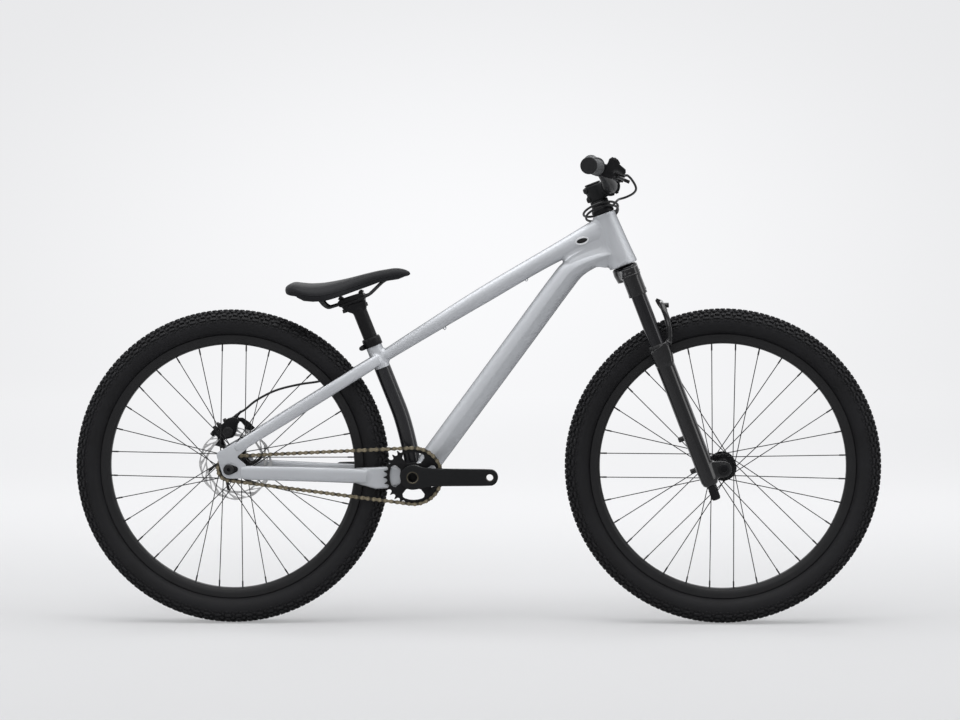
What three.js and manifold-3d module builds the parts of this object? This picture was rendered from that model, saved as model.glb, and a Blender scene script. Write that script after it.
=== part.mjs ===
// Dirt jump bike in millimetres: +X forward, +Y to the rider's left, +Z up.
// The origin lies on the ground, midway between the two hubs.
import * as THREE from 'three';
import { mergeVertices } from 'three/addons/utils/BufferGeometryUtils.js';
import Module from 'manifold-3d';

const wasm = await Module();
wasm.setup();

// Clearances and the overrun of cutting tools
const fitGap = 0.3;
const runningGap = 0.2;
const overrun = 6;

// Wheels
const wheelBase = 1058.6;
const wheelRadius = 340;
const wheelSegments = 32;
const tyreWidth = 60;
const tyreSeatWidth = 22.8;
const rimOuterRadius = 285.5;
const rimDepth = 21.5;
const rimInnerRadius = rimOuterRadius - rimDepth;
const rimHookDepth = 5.5;
const tyreSeatRadius = rimOuterRadius - rimHookDepth;
const rimWidth = 29;
const rimFloorWidth = 12;
const rimHookGap = 0.4;
const tyreCrownShares = [[0.35, 0.97], [0.72, 0.9], [1, 0.3]];
const spokesPerSide = 16;
const spokeRadius = 1.1;
const spokeSides = 3;
const spokeCrosses = 3;
const spokeRimOffset = 2;
const spokeLayerStep = 3.6;
const spokeFlangeGap = 1.4;
const spokeRingWidth = 4;
const spokeRimGap = 2.1;
const spokeRingMargin = 1.2;
const rearWheelTurn = 4.3;
const frontWheelTurn = 5.2;
const flangeRadius = 29;
const flangeHoleRadius = 24;
const flangeThickness = 3;
const hubBarrelRadius = 15;
const hubSegments = 12;
const axleSegments = 12;
const turningSegments = 18;
const plateCurveSteps = 6;
const ringCurveSteps = 3;
const armCurveSteps = 5;
const crownCurveSteps = 5;
const earCurveSteps = 5;
const bearingRadius = 12.7;
const bearingOffset = 20.5;

// Rear hub, brake rotor and axle
const rearHubWidth = 135;
const rearFlangeHalfSpan = 32;
const rearAxleRadius = 6;
const rearEndCapRadius = 9;
const rearBoltRadius = 11.3;
const rearBoltThickness = 5;
const rearLeftShellEnd = 52;
const rotorSeatRadius = 22;
const rotorSeatWidth = 8;
const rotorRadius = 80;
const rotorThickness = 1.8;
const rotorTrackWidth = 14;
const rotorHoleRadius = 13.5;
const rotorArms = 6;
const rotorArmWidth = 9;
const rotorCentreRadius = 27;
const driverRadius = 15;
const driverEnd = 60;

// Front hub and axle
const frontHubWidth = 100;
const frontFlangeHalfSpan = 28;
const frontAxleRadius = 7.5;
const frontEndCapLength = 5;
const frontSeatEnd = 41;
const frontEndCapRadius = 11;
const frontAxleHeadRadius = 10.5;
const frontAxleHeadThickness = 5;

// Chain drive
const chainLinkLength = 12.7;
const chainLinks = 84;
const ringTeeth = 30;
const cogTeeth = 13;
const chainLine = 50;
const chainPlateHeight = 8.2;
const chainPlateThickness = 1.7;
const chainWidth = 9;
const rollerRadius = 3.5;
const rollerSides = 4;
const rollerStep = 7;
const toothThickness = 2;
const toothSeatRadius = 3.9;
const toothTipWidth = 1.8;
const toothTipRise = 3.6;
const toothSideShare = 0.55;
const toothDepthShare = 0.96;
const bottomBracketHeight = 323.5;
const ringArcSteps = 12;
const cogArcSteps = 6;
const ringBoreRadius = 18;
const ringWindowInner = 33;
const ringWindowOuter = 50;
const ringWindowAngle = 62;
const ringWindows = 4;
const cogCarrierRadius = 19;
const cogCarrierWidth = 17;

// Cranks
const crankLength = 165;
const crankEndRadius = 17.9;
const crankBossRadius = 26;
const crankArmThickness = 14;
const crankOuterFace = 85;
const pedalHoleRadius = 7.3;
const spindleRadius = 12;
const spindleBoreRadius = 9;
const spindleLength = 158;
const crankRootRadius = 18.5;

// Bottom bracket shell, its cups and the yoke
const shellRadius = 22;
const shellWidth = 73;
const shellBoreRadius = 17.3;
const cupFlangeRadius = 21.5;
const cupFlangeWidth = 7.5;
const cupDepth = 14;
const yokeWidth = 88;
const yokeSlotWidth = 71;
const yokeReach = 128;
const yokeTyreGap = 9;
const yokeTopShares = [[1, 0.128], [0.43, 0.152], [0.16, 0.152]];
const yokeLowShares = [[0.1, -0.15], [0.42, -0.213], [0.64, -0.227], [0.8, -0.18], [1, -0.125]];

// Frame tubes
const headAngle = 69.1;
const headTubeLength = 119.4;
const headTopRadius = 24.5;
const headLowRadius = 30.5;
const headCollarShare = 0.1;
const headBoreTop = 18;
const headBoreLow = 23;
const upperSeatRadius = 20.9;
const lowerSeatRadius = 26;
const headBearingHeight = 7;
const seatAngle = 68.5;
const seatTopAhead = -227.9;
const seatTopHeight = 616.7;
const seatTubeRadius = 17.45;
const seatTubeBore = 15.8;
const seatTubeStraight = 160;
const seatTubeLeadShare = 0.31;
const seatTubeSides = 16;
const seatTubeBendSteps = 6;
const tubeSides = 16;
const staySides = 12;
const tubeSquareness = 2.7;
const topTubeRearDrop = 49;
const topTubeHeadDrop = 34;
const topTubeHeight = 40;
const topTubeWidth = 36;
const topTubeBow = 10;
// Each row: place along the tube, bow, width, height
const topTubeShares = [
  [0, 0, 0.8, 0.64], [0.04, 0.1, 0.82, 0.65], [0.25, 0.55, 0.88, 0.78], [0.45, 0.9, 0.94, 0.9],
  [0.8, 1, 1, 1], [0.954, 0.3, 1.12, 1.45], [1, 0, 1.15, 1.5],
];
const eyeletShares = [0.27, 0.62];
const eyeletSize = 7;
const eyeletDropShare = 0.84;
const downTubeHeight = 52;
const downTubeWidth = 48;
const downTubeFootAhead = 8;
const downTubeFootDrop = 6.5;
const downTubeHeadRise = 30;
const downTubeBow = 50.5;
const downTubeSquareness = 2.4;
// Each row: place along the tube, bow, width, height
const downTubeShares = [
  [0, 0, 0.92, 0.98], [0.56, 0.66, 1, 1], [0.8, 0.95, 1.04, 1], [0.845, 0.98, 1.04, 0.98],
  [0.875, 0.9, 1.05, 0.88], [0.91, 0.72, 1.05, 0.76], [0.95, 0.44, 1.06, 0.66], [1, 0, 1.06, 0.62],
];
const seatStayDrop = 48;
const seatStayHeight = 26;
const seatStayWidth = 16;
const seatStayTopOffset = 15;
// Each row: place along the stay, spread from the middle, size
const seatStayShares = [
  [0, 0, 0.96], [0.1, 0.26, 1], [0.195, 0.43, 1], [0.29, 0.56, 1], [0.468, 0.68, 1], [0.843, 0.89, 0.92],
  [1.1, 1, 0.88],
];
const seatStayEndShares = [0.485, 0.85];
const chainStayHeight = 32;
const chainStayWidth = 15;
// Each row: place along the stay, spread from the middle, size
const chainStayShares = [
  [-0.05, 0, 1], [0, 0, 1], [0.29, 0.14, 1], [0.6, 0.45, 0.98], [0.83, 0.82, 0.95], [1.05, 1, 0.92],
];
const chainStayRearDrop = 7;

// Dropouts, in shares of their arm length around the axle
const dropoutThickness = 7.5;
const dropoutArm = 64;
const dropoutShares = [
  [-0.42, 0.55], [0.28, 0.95], [0.69, 0.75], [0.27, 0.42], [0.6, 0.13], [0.6, -0.31],
  [-0.05, -0.3], [-0.2, -0.2], [-0.33, 0.22],
];
const dropoutFaceOffset = rearHubWidth / 2;

// Headset, fork and stem, measured along the steering axis
const steererRadius = 14.3;
const steererLowRadius = 19.6;
const steererTaperShare = 0.72;
const crownTop = 1.5;
const crownHeight = 34;
const crownRadius = 26;
const legOffset = 65;
const legAhead = 7;
const socketRadius = 19.8;
const socketTop = 16;
const socketEnd = 67;
const stanchionRadius = 16;
const stanchionStart = 20;
const stanchionEnd = 375;
const lowerRadius = 19.5;
const lowerTop = 185;
const lowerEnd = 504;
const lowerBoreEnd = 482;
const sealRadius = 20.8;
const sealHeight = 9;
const axleToCrown = 480;
const forkOffset = 44;
const footBoltRadius = 9;
const footBoltLength = 32;
const axleBossRadius = 17;
const axleBossThickness = 24;
const axleBossRise = 12;
const legBossInset = 1;
const archAhead = 46;
const archTop = 108;
const archThickness = 15;
const archWidth = 17;
const archSpread = 60;
const archFootDrop = 92;
const archSides = 8;
const archSteps = 10;
// Each row: place between leg and arch, spread from the middle, drop from the top
const archShares = [
  [0.3, 1.02, 1], [0.78, 0.97, 0.74], [1, 0.85, 0.36], [1, 0.58, 0.07], [1, 0.3, 0], [1, 0, 0],
];
const mountLugRadius = 6;
const mountLugReach = 33;
const mountLugDrops = [400, 474];
const mountLugOffset = 58;
const coneHeight = 30;
const coneLowRadius = 24;
const coneTopRadius = 19.5;
const coneCollarShare = 0.35;
const stemBase = coneHeight + fitGap;
const stemHeight = 35;
const stemClampRadius = 20;
const stemReach = 34;
const stemRise = 49.5;
const stemWidth = 48;
const barClampRadius = 21.5;
const faceplateSplit = 2;
const stemEarReach = 22;
const stemEarWidth = 19;
const stemSlotWidth = 3;
const capThickness = 4;
const capRadius = 17.5;
const steererDrop = 2;
const steererTop = stemBase + stemHeight - steererDrop;

// Handlebar, grips and the brake lever on the bar
const barWidth = 758;
const barRise = 59.7;
const barSweep = 23.8;
const barClampTubeRadius = 15.9;
const barGripTubeRadius = 11.1;
// Each row: reach from the middle, rise, sweep back, taper to the grip's size
const barShares = [
  [0, 0, 0, 0], [0.09, 0, 0, 0], [0.18, 0.07, 0.02, 0.25], [0.3, 0.34, 0.1, 0.75], [0.42, 0.6, 0.22, 1],
  [0.55, 0.77, 0.38, 1], [0.65, 0.84, 0.5, 1], [1, 1, 1, 1],
];
const barSides = 12;
const gripRadius = 17.3;
const gripLength = 132;
const gripEndWall = 1.8;
const gripSides = 16;
const brakeSetback = 33;
const brakeAt = barWidth / 2 - gripLength - brakeSetback;
const brakeTilt = 44;
const brakeClampRadius = 15.5;
const brakeClampWidth = 13;
const cylinderReach = 42;
const cylinderRadius = 9;
const cylinderLength = 62;
const cylinderOut = 12;
const reservoirHeight = 23;
const reservoirWidth = 26;
const reservoirLength = 44;
const leverPivotReach = 52;
const leverPivotOut = 20;
const leverPivotRadius = 7;
const leverEarThickness = 4;
const leverEarRadius = 8;
const leverPinRadius = 2.2;
const barbRadius = 4;
const barbAhead = 17;
const barbRise = 8;
const barbLength = 9;
const leverLength = 82;
const leverThickness = 7;
const leverBladeWidth = 9;
const leverTipRadius = 6;
const leverTipShare = 1.4;
// Each row: place along the blade, place across it
const leverShares = [
  [0, -0.5], [0.25, -0.4], [0.6, 0.15], [0.88, 0.7], [1, 0.9],
  [1, 1.9], [0.85, 1.7], [0.5, 1.05], [0.2, 0.55], [0, 0.5],
];

// Brake caliper, its pads and the hose
const caliperSize = 50;
const caliperInner = 41;
const caliperOuter = 61.5;
const caliperArmGap = 1.5;
const caliperAlongShare = 0.5;
// Outlines along and above the dropout's edge, in shares of the caliper's size
const caliperBodyShares = [
  [-0.58, 0.86], [-0.42, 0.9], [0.04, 0.92], [0.3, 1], [0.56, 0.94], [0.7, 0.8], [0.68, 0.62],
  [0.56, 0.56], [0.36, 0.32], [0.1, 0.17], [-0.22, 0.26], [-0.44, 0.36], [-0.52, 0.7],
];
const caliperArmShares = [
  [0.45, 0.9], [0.7, 0.8], [0.88, 0.7], [1.02, 0.4], [1.12, 0.04], [0.64, 0], [0.7, 0.25],
  [0.76, 0.36], [0.72, 0.56], [0.62, 0.75], [0.45, 0.8],
];
const caliperFootShares = [[-0.67, 0.4], [-0.64, 0], [-0.4, 0], [-0.38, 0.24], [-0.24, 0.4], [-0.44, 0.5]];
const caliperBarbShares = [[0.4, 0.84], [0.78, 0.93]];
const caliperBarbAcross = 55;
const padThickness = 3;
const padGap = 0.5;
const rotorClearance = 2;
const padLength = 28;
const padHeight = 18;
const caliperPadAt = 2;
const caliperPadRise = 14;
const rotorPlane = rearLeftShellEnd + fitGap + rotorThickness / 2;
const hoseRadius = 2.5;
const hoseEndGap = 0.5;
const hoseSides = 8;
const coilTurns = 2.23;
const coilSteps = 24;
const coilRadius = 41;
const coilTightening = 5;
const coilTilt = 26;
const coilHeight = 12;
const coilAhead = -3;
const coilPitch = 6.6;
const coilLift = 11;
const coilLiftTurns = 0.6;
const coilStartAngle = 0.35;
const freeHoseSteps = 46;
const heldHoseSteps = 38;
const hoseChannelGap = 1;
const channelSteps = 34;
// Places on the bike, from the lever forward and down to the coil
const leadInPoints = [[345.3, -128, 941.7], [340.7, -100, 930.9], [329.3, -68, 922.8], [312.5, -28, 915.7]];
// Places on the bike, from the coil to the top tube's port
const leadOutPoints = [[246, 33.5, 849.5], [230.6, 27, 835]];
// Places on the bike, from the port inside the top tube to the seat tube, the stay and the caliper
const heldHosePoints = [
  [229.6, 25.6, 833.4], [212, 12, 818], [170, 3, 793], [80, 2, 744], [8, 2, 700], [-80, 2, 648],
  [-140, 7, 611], [-168, 17, 595], [-190, 28.5, 584], [-215, 37, 574], [-240, 44.5, 562], [-290, 58.5, 533],
  [-347, 58, 519], [-387, 59, 513], [-442, 58, 499], [-486, 56, 476], [-508, 55, 458],
];

// Seat post, clamp and saddle
const collarRadius = 22;
const collarHeight = 19;
const collarLip = 2;
const collarEarRadius = 5.5;
const collarEarReach = 26;
const collarEarWidth = 18;
const postRadius = 15.45;
const postInsertion = 115;
const postExposed = 66;
const headSize = 46;
const headHeight = 24;
const headWidth = 56;
const headNeckWidth = 24;
const cradleThickness = 7;
// Each row: place along the rails, height under them
const postNeckShares = [[-1.3, -0.1], [-1.25, -0.55], [-0.55, -1.1], [0.85, -1.1], [0.95, -0.1]];
const railSlope = 3.6;
const railRise = 91.4;
const railAhead = -2.5;
const railRadius = 3.5;
const railSpacing = 44;
const railSides = 8;
const railSteps = 20;
const railTension = 0.5;
// Each row: place along the saddle, spread, height above the clamp
const railShares = [
  [-0.5, 1.45, 0.235], [-0.475, 1.25, 0.12], [-0.42, 1.05, 0.01], [-0.36, 1, 0], [-0.15, 1, 0], [0.05, 1, 0],
  [0.26, 1, 0], [0.33, 0.9, 0.05], [0.54, 0.55, 0.17], [0.64, 0.35, 0.155], [0.68, 0, 0.145],
];
const railClampLength = 60;
const clampPlateHeight = 9;
const clampBoltRadius = 3;
const clampBoltHeadRadius = 5.5;
const clampBoltHeadHeight = 8;
const clampBoltPlaces = [-26, 20];
const clampBoltAbove = 11;
const clampBoltBelow = 22;
const clampNutHeight = 3;
const clampAhead = -4;
const saddleLength = 265;
const saddleWidth = 142;
const saddleHeight = 75;
const saddleBaseThickness = 4;
const saddleBaseShare = 0.93;
const saddleSides = 16;
const saddleSideSquareness = 2.2;
const saddleCrownPower = 0.6;
// Each row: place from tail to nose, top, skirt, half width, lift off the base
const saddleShares = [
  [0, 0.86, 0.78, 0.18, 0], [0.03, 0.96, 0.71, 0.32, 0], [0.075, 1, 0.62, 0.42, 1], [0.2, 0.83, 0.33, 0.5, 1],
  [0.3, 0.73, 0.22, 0.49, 1], [0.43, 0.66, 0.215, 0.37, 1], [0.53, 0.625, 0.225, 0.26, 1],
  [0.65, 0.6, 0.235, 0.185, 1], [0.75, 0.57, 0.25, 0.165, 1], [0.89, 0.49, 0.19, 0.14, 1],
  [0.96, 0.37, 0.175, 0.1, 0], [1, 0.2, 0.165, 0.045, 0],
];

// Places worked out from the sizes above
const rad = THREE.MathUtils.degToRad;
const ringPitchRadius = chainLinkLength / (2 * Math.sin(Math.PI / ringTeeth));
const cogPitchRadius = chainLinkLength / (2 * Math.sin(Math.PI / cogTeeth));
const ringArcRadius = ringTeeth * chainLinkLength / (2 * Math.PI);
const cogArcRadius = cogTeeth * chainLinkLength / (2 * Math.PI);
const chainSpan = solveChainSpan();
const bracketDrop = wheelRadius - bottomBracketHeight;
const bracketAhead = -wheelBase / 2 + Math.sqrt(chainSpan ** 2 - bracketDrop ** 2);
const rearAxle = new THREE.Vector3(-wheelBase / 2, 0, wheelRadius);
const frontAxle = new THREE.Vector3(wheelBase / 2, 0, wheelRadius);
const bracket = new THREE.Vector3(bracketAhead, 0, bottomBracketHeight);
const headTilt = rad(90 - headAngle);
const seatTilt = rad(90 - seatAngle);
const steerUp = new THREE.Vector3(-Math.sin(headTilt), 0, Math.cos(headTilt));
const steerAhead = new THREE.Vector3(Math.cos(headTilt), 0, Math.sin(headTilt));
const seatUp = new THREE.Vector3(-Math.sin(seatTilt), 0, Math.cos(seatTilt));
const headTop = frontAxle.clone()
  .addScaledVector(steerAhead, -forkOffset)
  .addScaledVector(steerUp, axleToCrown + headTubeLength);
const seatTop = new THREE.Vector3(seatTopAhead, 0, seatTopHeight);

// The centre distance at which the chain closes with a whole number of links
function solveChainSpan() {
  const step = ringArcRadius - cogArcRadius;
  const wrapped = Math.PI * (ringArcRadius + cogArcRadius);
  const loop = chainLinks * chainLinkLength;
  let span = (loop - wrapped) / 2;
  for (let turn = 0; turn < 20; turn++) {
    const lean = Math.asin(step / span);
    span = (loop - wrapped - 2 * lean * step) / (2 * Math.cos(lean));
  }
  return span;
}

// Solids from geometry and back
function solid(geometry) {
  geometry.deleteAttribute('normal');
  geometry.deleteAttribute('uv');
  const merged = mergeVertices(geometry);
  return new wasm.Manifold(new wasm.Mesh({
    numProp: 3,
    vertProperties: new Float32Array(merged.attributes.position.array),
    triVerts: new Uint32Array(merged.index.array),
  }));
}

function geometryOf(body) {
  const mesh = body.getMesh();
  const geometry = new THREE.BufferGeometry();
  geometry.setAttribute('position', new THREE.BufferAttribute(mesh.vertProperties, 3));
  geometry.setIndex(new THREE.BufferAttribute(mesh.triVerts, 1));
  geometry.computeVertexNormals();
  return geometry;
}

function joined(...geometries) {
  return geometries.map(solid).reduce((whole, piece) => whole.add(piece));
}

function cut(body, ...geometries) {
  return geometries.reduce((whole, tool) => whole.subtract(solid(tool)), body);
}

// Basic shapes. Everything spun or extruded here lies in the bike's own directions.
// A profile is a list of radius and place along the axis. It starts and ends on the axis or is closed here.
function spunAcross(profile, segments) {
  const points = profile.map(([radius, across]) => new THREE.Vector2(radius, across));
  if (THREE.ShapeUtils.area(points) < 0) {
    points.reverse();
  }
  if (points[0].x > 0) {
    points.push(points[0].clone());
  }
  return new THREE.LatheGeometry(points, segments);
}

function spunUpright(profile, segments) {
  return spunAcross(profile.map(([radius, up]) => [radius, up]), segments).rotateX(Math.PI / 2);
}

function ringAcross(inner, outer, low, high, segments = hubSegments) {
  return spunAcross([[inner, low], [outer, low], [outer, high], [inner, high]], segments);
}

function ringUpright(inner, outer, low, high, segments = hubSegments) {
  return ringAcross(inner, outer, low, high, segments).rotateX(Math.PI / 2);
}

function discAcross(radius, low, high, segments = hubSegments) {
  return new THREE.CylinderGeometry(radius, radius, high - low, segments)
    .translate(0, (high + low) / 2, 0);
}

function discUpright(radius, low, high, segments = hubSegments) {
  return discAcross(radius, low, high, segments).rotateX(Math.PI / 2);
}

function block(fromX, toX, fromY, toY, fromZ, toZ) {
  return new THREE.BoxGeometry(toX - fromX, toY - fromY, toZ - fromZ)
    .translate((fromX + toX) / 2, (fromY + toY) / 2, (fromZ + toZ) / 2);
}

function rod(radius, from, to, sides = hubSegments) {
  const line = new THREE.Vector3().subVectors(to, from);
  const length = line.length();
  const turn = new THREE.Quaternion().setFromUnitVectors(new THREE.Vector3(0, 1, 0), line.normalize());
  return new THREE.CylinderGeometry(radius, radius, length, sides)
    .applyQuaternion(turn)
    .translate((from.x + to.x) / 2, (from.y + to.y) / 2, (from.z + to.z) / 2);
}

function extruded(shape, depth, curveSegments = plateCurveSteps) {
  return new THREE.ExtrudeGeometry(shape, { depth, bevelEnabled: false, curveSegments });
}

// A flat plate with its outline in X and Z and its thickness along Y
function plate(shape, low, high, curveSegments = plateCurveSteps) {
  return extruded(shape, high - low, curveSegments).rotateX(Math.PI / 2).translate(0, high, 0);
}

function outline(points) {
  return new THREE.Shape(points.map(([x, z]) => new THREE.Vector2(x, z)));
}

// The outline of a link with two round ends, as on a crank arm or a lug
function linkShape(fromX, fromZ, fromRadius, toX, toZ, toRadius) {
  const run = Math.hypot(toX - fromX, toZ - fromZ);
  const heading = Math.atan2(toZ - fromZ, toX - fromX);
  const side = Math.acos((fromRadius - toRadius) / run);
  const shape = new THREE.Shape();
  shape.absarc(fromX, fromZ, fromRadius, heading + side, heading - side + 2 * Math.PI, false);
  shape.absarc(toX, toZ, toRadius, heading - side, heading + side, false);
  return shape;
}

// A closed skin over a row of rings with equal counts of points
function loft(rings) {
  const count = rings[0].length;
  const last = (rings.length - 1) * count;
  const faces = [];
  for (let ring = 0; ring + 1 < rings.length; ring++) {
    for (let side = 0; side < count; side++) {
      const a = ring * count + side;
      const b = ring * count + (side + 1) % count;
      faces.push(a, b, a + count, b, b + count, a + count);
    }
  }
  for (let side = 1; side + 1 < count; side++) {
    faces.push(0, side + 1, side, last, last + side, last + side + 1);
  }
  const geometry = new THREE.BufferGeometry();
  const places = rings.flat().flatMap((point) => point.toArray());
  geometry.setAttribute('position', new THREE.Float32BufferAttribute(places, 3));
  geometry.setIndex(faces);
  return geometry;
}

// A tube through stations of centre, width and height, rounder or squarer in section
function shapedTube(stations, widthAxis, sides, squareness, grow = 0) {
  const rings = stations.map((station, index) => {
    const before = stations[Math.max(index - 1, 0)].at;
    const after = stations[Math.min(index + 1, stations.length - 1)].at;
    const along = new THREE.Vector3().subVectors(after, before).normalize();
    const across = widthAxis.clone().addScaledVector(along, -widthAxis.dot(along)).normalize();
    const up = new THREE.Vector3().crossVectors(along, across);
    const ring = [];
    for (let side = 0; side < sides; side++) {
      const angle = 2 * Math.PI * side / sides;
      const right = powered(Math.cos(angle), squareness) * (station.wide / 2 + grow);
      const rise = powered(Math.sin(angle), squareness) * (station.high / 2 + grow);
      ring.push(station.at.clone().addScaledVector(across, right).addScaledVector(up, rise));
    }
    return ring;
  });
  return loft(rings);
}

function powered(value, squareness) {
  return Math.sign(value) * Math.abs(value) ** (2 / squareness);
}

function circleShape(radius, sides) {
  const points = [];
  for (let side = 0; side < sides; side++) {
    const angle = 2 * Math.PI * side / sides;
    points.push([radius * Math.cos(angle), radius * Math.sin(angle)]);
  }
  return outline(points);
}

function roundTube(path, radius, sides, steps) {
  return new THREE.ExtrudeGeometry(circleShape(radius, sides), {
    steps, bevelEnabled: false, extrudePath: path,
  });
}

function mix(from, to, share) {
  return from + (to - from) * share;
}

// Meshes and their places
const bike = new THREE.Group();
const finishes = {
  frame: { color: 0xb4b8bd, roughness: 0.42, metalness: 0.55 },
  black: { color: 0x17181a, roughness: 0.5, metalness: 0.3 },
  gloss: { color: 0x101114, roughness: 0.25, metalness: 0.3 },
  rubber: { color: 0x1f2123, roughness: 0.85, metalness: 0 },
  steel: { color: 0xa9abad, roughness: 0.35, metalness: 0.9 },
  chain: { color: 0x5a5343, roughness: 0.45, metalness: 0.8 },
  grip: { color: 0x4a4b4d, roughness: 0.8, metalness: 0 },
};

function put(group, name, finish, piece) {
  const body = piece instanceof THREE.BufferGeometry ? solid(piece) : piece;
  const mesh = new THREE.Mesh(geometryOf(body), new THREE.MeshStandardMaterial(finishes[finish]));
  mesh.name = name;
  group.add(mesh);
}

function groupAt(parent, place, tilt = 0) {
  const group = new THREE.Group();
  group.position.copy(place);
  group.rotation.y = -tilt;
  parent.add(group);
  return group;
}

function placeAt(point, tilt) {
  return new THREE.Matrix4().makeRotationY(-tilt).setPosition(point);
}

const steeringPlace = placeAt(headTop, headTilt);
const acrossAxis = new THREE.Vector3(0, 1, 0);
const aheadAxis = new THREE.Vector3(1, 0, 0);

// Wheels
function wheelPoint(radius, angle, across) {
  return new THREE.Vector3(radius * Math.cos(angle), across, radius * Math.sin(angle));
}

function mirroredProfile(half) {
  return [...half, ...half.map(([radius, across]) => [radius, -across]).reverse()];
}

function tyre() {
  const seat = tyreSeatWidth / 2;
  const base = rimOuterRadius + rimHookGap;
  const crown = tyreCrownShares.map(([rise, spread]) => [
    mix(base, wheelRadius, rise), spread * tyreWidth / 2,
  ]);
  return spunAcross(mirroredProfile([[tyreSeatRadius, seat], [base, seat], ...crown]), wheelSegments);
}

function rim() {
  const hook = tyreSeatWidth / 2 + rimHookGap;
  const half = rimWidth / 2;
  return spunAcross(mirroredProfile([
    [tyreSeatRadius - rimHookGap, hook],
    [rimOuterRadius, hook],
    [rimOuterRadius, half],
    [rimInnerRadius, rimFloorWidth / 2],
  ]), wheelSegments);
}

// The spokes of one side lie in two layers that cross without touching. A slim ring joins their hub ends.
function spokes(side, flangeSpan, turn) {
  const step = 2 * Math.PI / spokesPerSide;
  const phase = rad(turn) + (side > 0 ? step / 2 : 0);
  const near = flangeSpan + flangeThickness / 2 + spokeFlangeGap + spokeRadius;
  const far = near + spokeLayerStep;
  const low = Math.min(side * near, side * far) - spokeRingMargin;
  const high = Math.max(side * near, side * far) + spokeRingMargin;
  const ringInner = flangeHoleRadius - spokeRingWidth / 2;
  const pieces = [ringAcross(ringInner, ringInner + spokeRingWidth, low, high)];
  for (let index = 0; index < spokesPerSide; index++) {
    const hubAngle = phase + index * step;
    const leading = index % 2 === 0;
    const lead = (leading ? 1 : -1) * spokeCrosses * step;
    const from = wheelPoint(flangeHoleRadius, hubAngle, side * (leading ? near : far));
    const to = wheelPoint(rimInnerRadius - spokeRimGap, hubAngle + lead, side * spokeRimOffset);
    pieces.push(rod(spokeRadius, from, to, spokeSides));
  }
  return joined(...pieces);
}

function hubShell(flangeSpan, leftEnd, rightEnd, seatEnd) {
  const half = flangeThickness / 2;
  const bore = turningBore(bearingRadius);
  return spunAcross([
    [bore, -rightEnd],
    [driverRadius, -rightEnd],
    [driverRadius, -flangeSpan - half],
    [flangeRadius, -flangeSpan - half],
    [flangeRadius, -flangeSpan + half],
    [hubBarrelRadius, -flangeSpan + 2 * flangeThickness],
    [hubBarrelRadius, flangeSpan - 2 * flangeThickness],
    [flangeRadius, flangeSpan - half],
    [flangeRadius, flangeSpan + half],
    [hubBarrelRadius, flangeSpan + half],
    [hubBarrelRadius, seatEnd - rotorSeatWidth],
    [rotorSeatRadius, seatEnd - rotorSeatWidth],
    [rotorSeatRadius, seatEnd],
    [driverRadius, seatEnd],
    [driverRadius, leftEnd],
    [bore, leftEnd],
  ], hubSegments);
}

// An axle with its two bearings, the end caps that carry it and a head or bolt outside
function axleShape(radius, halfLength, capRadius, capFrom, capTo, headRadius, headThickness) {
  const half = [
    [radius, bearingOffset],
    [bearingRadius, bearingOffset],
    [bearingRadius, capFrom],
    [capRadius, capFrom],
    [capRadius, capTo],
    [radius, capTo],
    [radius, halfLength - headThickness],
    [headRadius, halfLength - headThickness],
    [headRadius, halfLength],
    [0, halfLength],
  ];
  const other = half.map(([spread, across]) => [spread, -across]).reverse();
  return spunAcross([...other, ...half], axleSegments);
}

function rotor() {
  const low = rotorPlane - rotorThickness / 2;
  const high = rotorPlane + rotorThickness / 2;
  const pieces = [
    ringAcross(rotorRadius - rotorTrackWidth, rotorRadius, low, high, wheelSegments),
    ringAcross(rotorHoleRadius, rotorCentreRadius, low, high),
  ];
  for (let arm = 0; arm < rotorArms; arm++) {
    const angle = 2 * Math.PI * arm / rotorArms;
    const bar = block(
      rotorCentreRadius - rotorArmWidth / 2, rotorRadius - rotorTrackWidth / 2,
      low, high, -rotorArmWidth / 2, rotorArmWidth / 2,
    );
    pieces.push(bar.rotateY(angle));
  }
  return joined(...pieces);
}

function buildWheel(name, place, flangeSpan, turn) {
  const group = groupAt(bike, place);
  put(group, `${name}_tyre`, 'rubber', tyre());
  put(group, `${name}_rim`, 'black', rim());
  put(group, `${name}_spokes_left`, 'black', spokes(1, flangeSpan, turn));
  put(group, `${name}_spokes_right`, 'black', spokes(-1, flangeSpan, turn));
  return group;
}

function buildRearWheel() {
  const group = buildWheel('rear', rearAxle, rearFlangeHalfSpan, rearWheelTurn);
  const face = rearHubWidth / 2 - fitGap;
  const boltFace = rearHubWidth / 2 + dropoutThickness + fitGap;
  const capFrom = driverEnd + fitGap;
  const shell = hubShell(rearFlangeHalfSpan, rearLeftShellEnd, driverEnd, rearLeftShellEnd);
  put(group, 'rear_hub', 'black', shell);
  put(group, 'rear_axle', 'black', axleShape(
    rearAxleRadius, boltFace + rearBoltThickness, rearEndCapRadius, capFrom, face,
    rearBoltRadius, rearBoltThickness,
  ));
  put(group, 'brake_rotor', 'steel', rotor());
  put(group, 'rear_cog', 'black', cog());
}

function buildFrontWheel() {
  const group = buildWheel('front', frontAxle, frontFlangeHalfSpan, frontWheelTurn);
  const face = frontHubWidth / 2 - fitGap;
  const bossFace = frontHubWidth / 2 + axleBossThickness + fitGap;
  const shellEnd = face - frontEndCapLength;
  put(group, 'front_hub', 'black', hubShell(frontFlangeHalfSpan, shellEnd, shellEnd, frontSeatEnd));
  put(group, 'front_axle', 'black', axleShape(
    frontAxleRadius, bossFace + frontAxleHeadThickness, frontEndCapRadius, shellEnd + fitGap, face,
    frontAxleHeadRadius, frontAxleHeadThickness,
  ));
}

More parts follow.
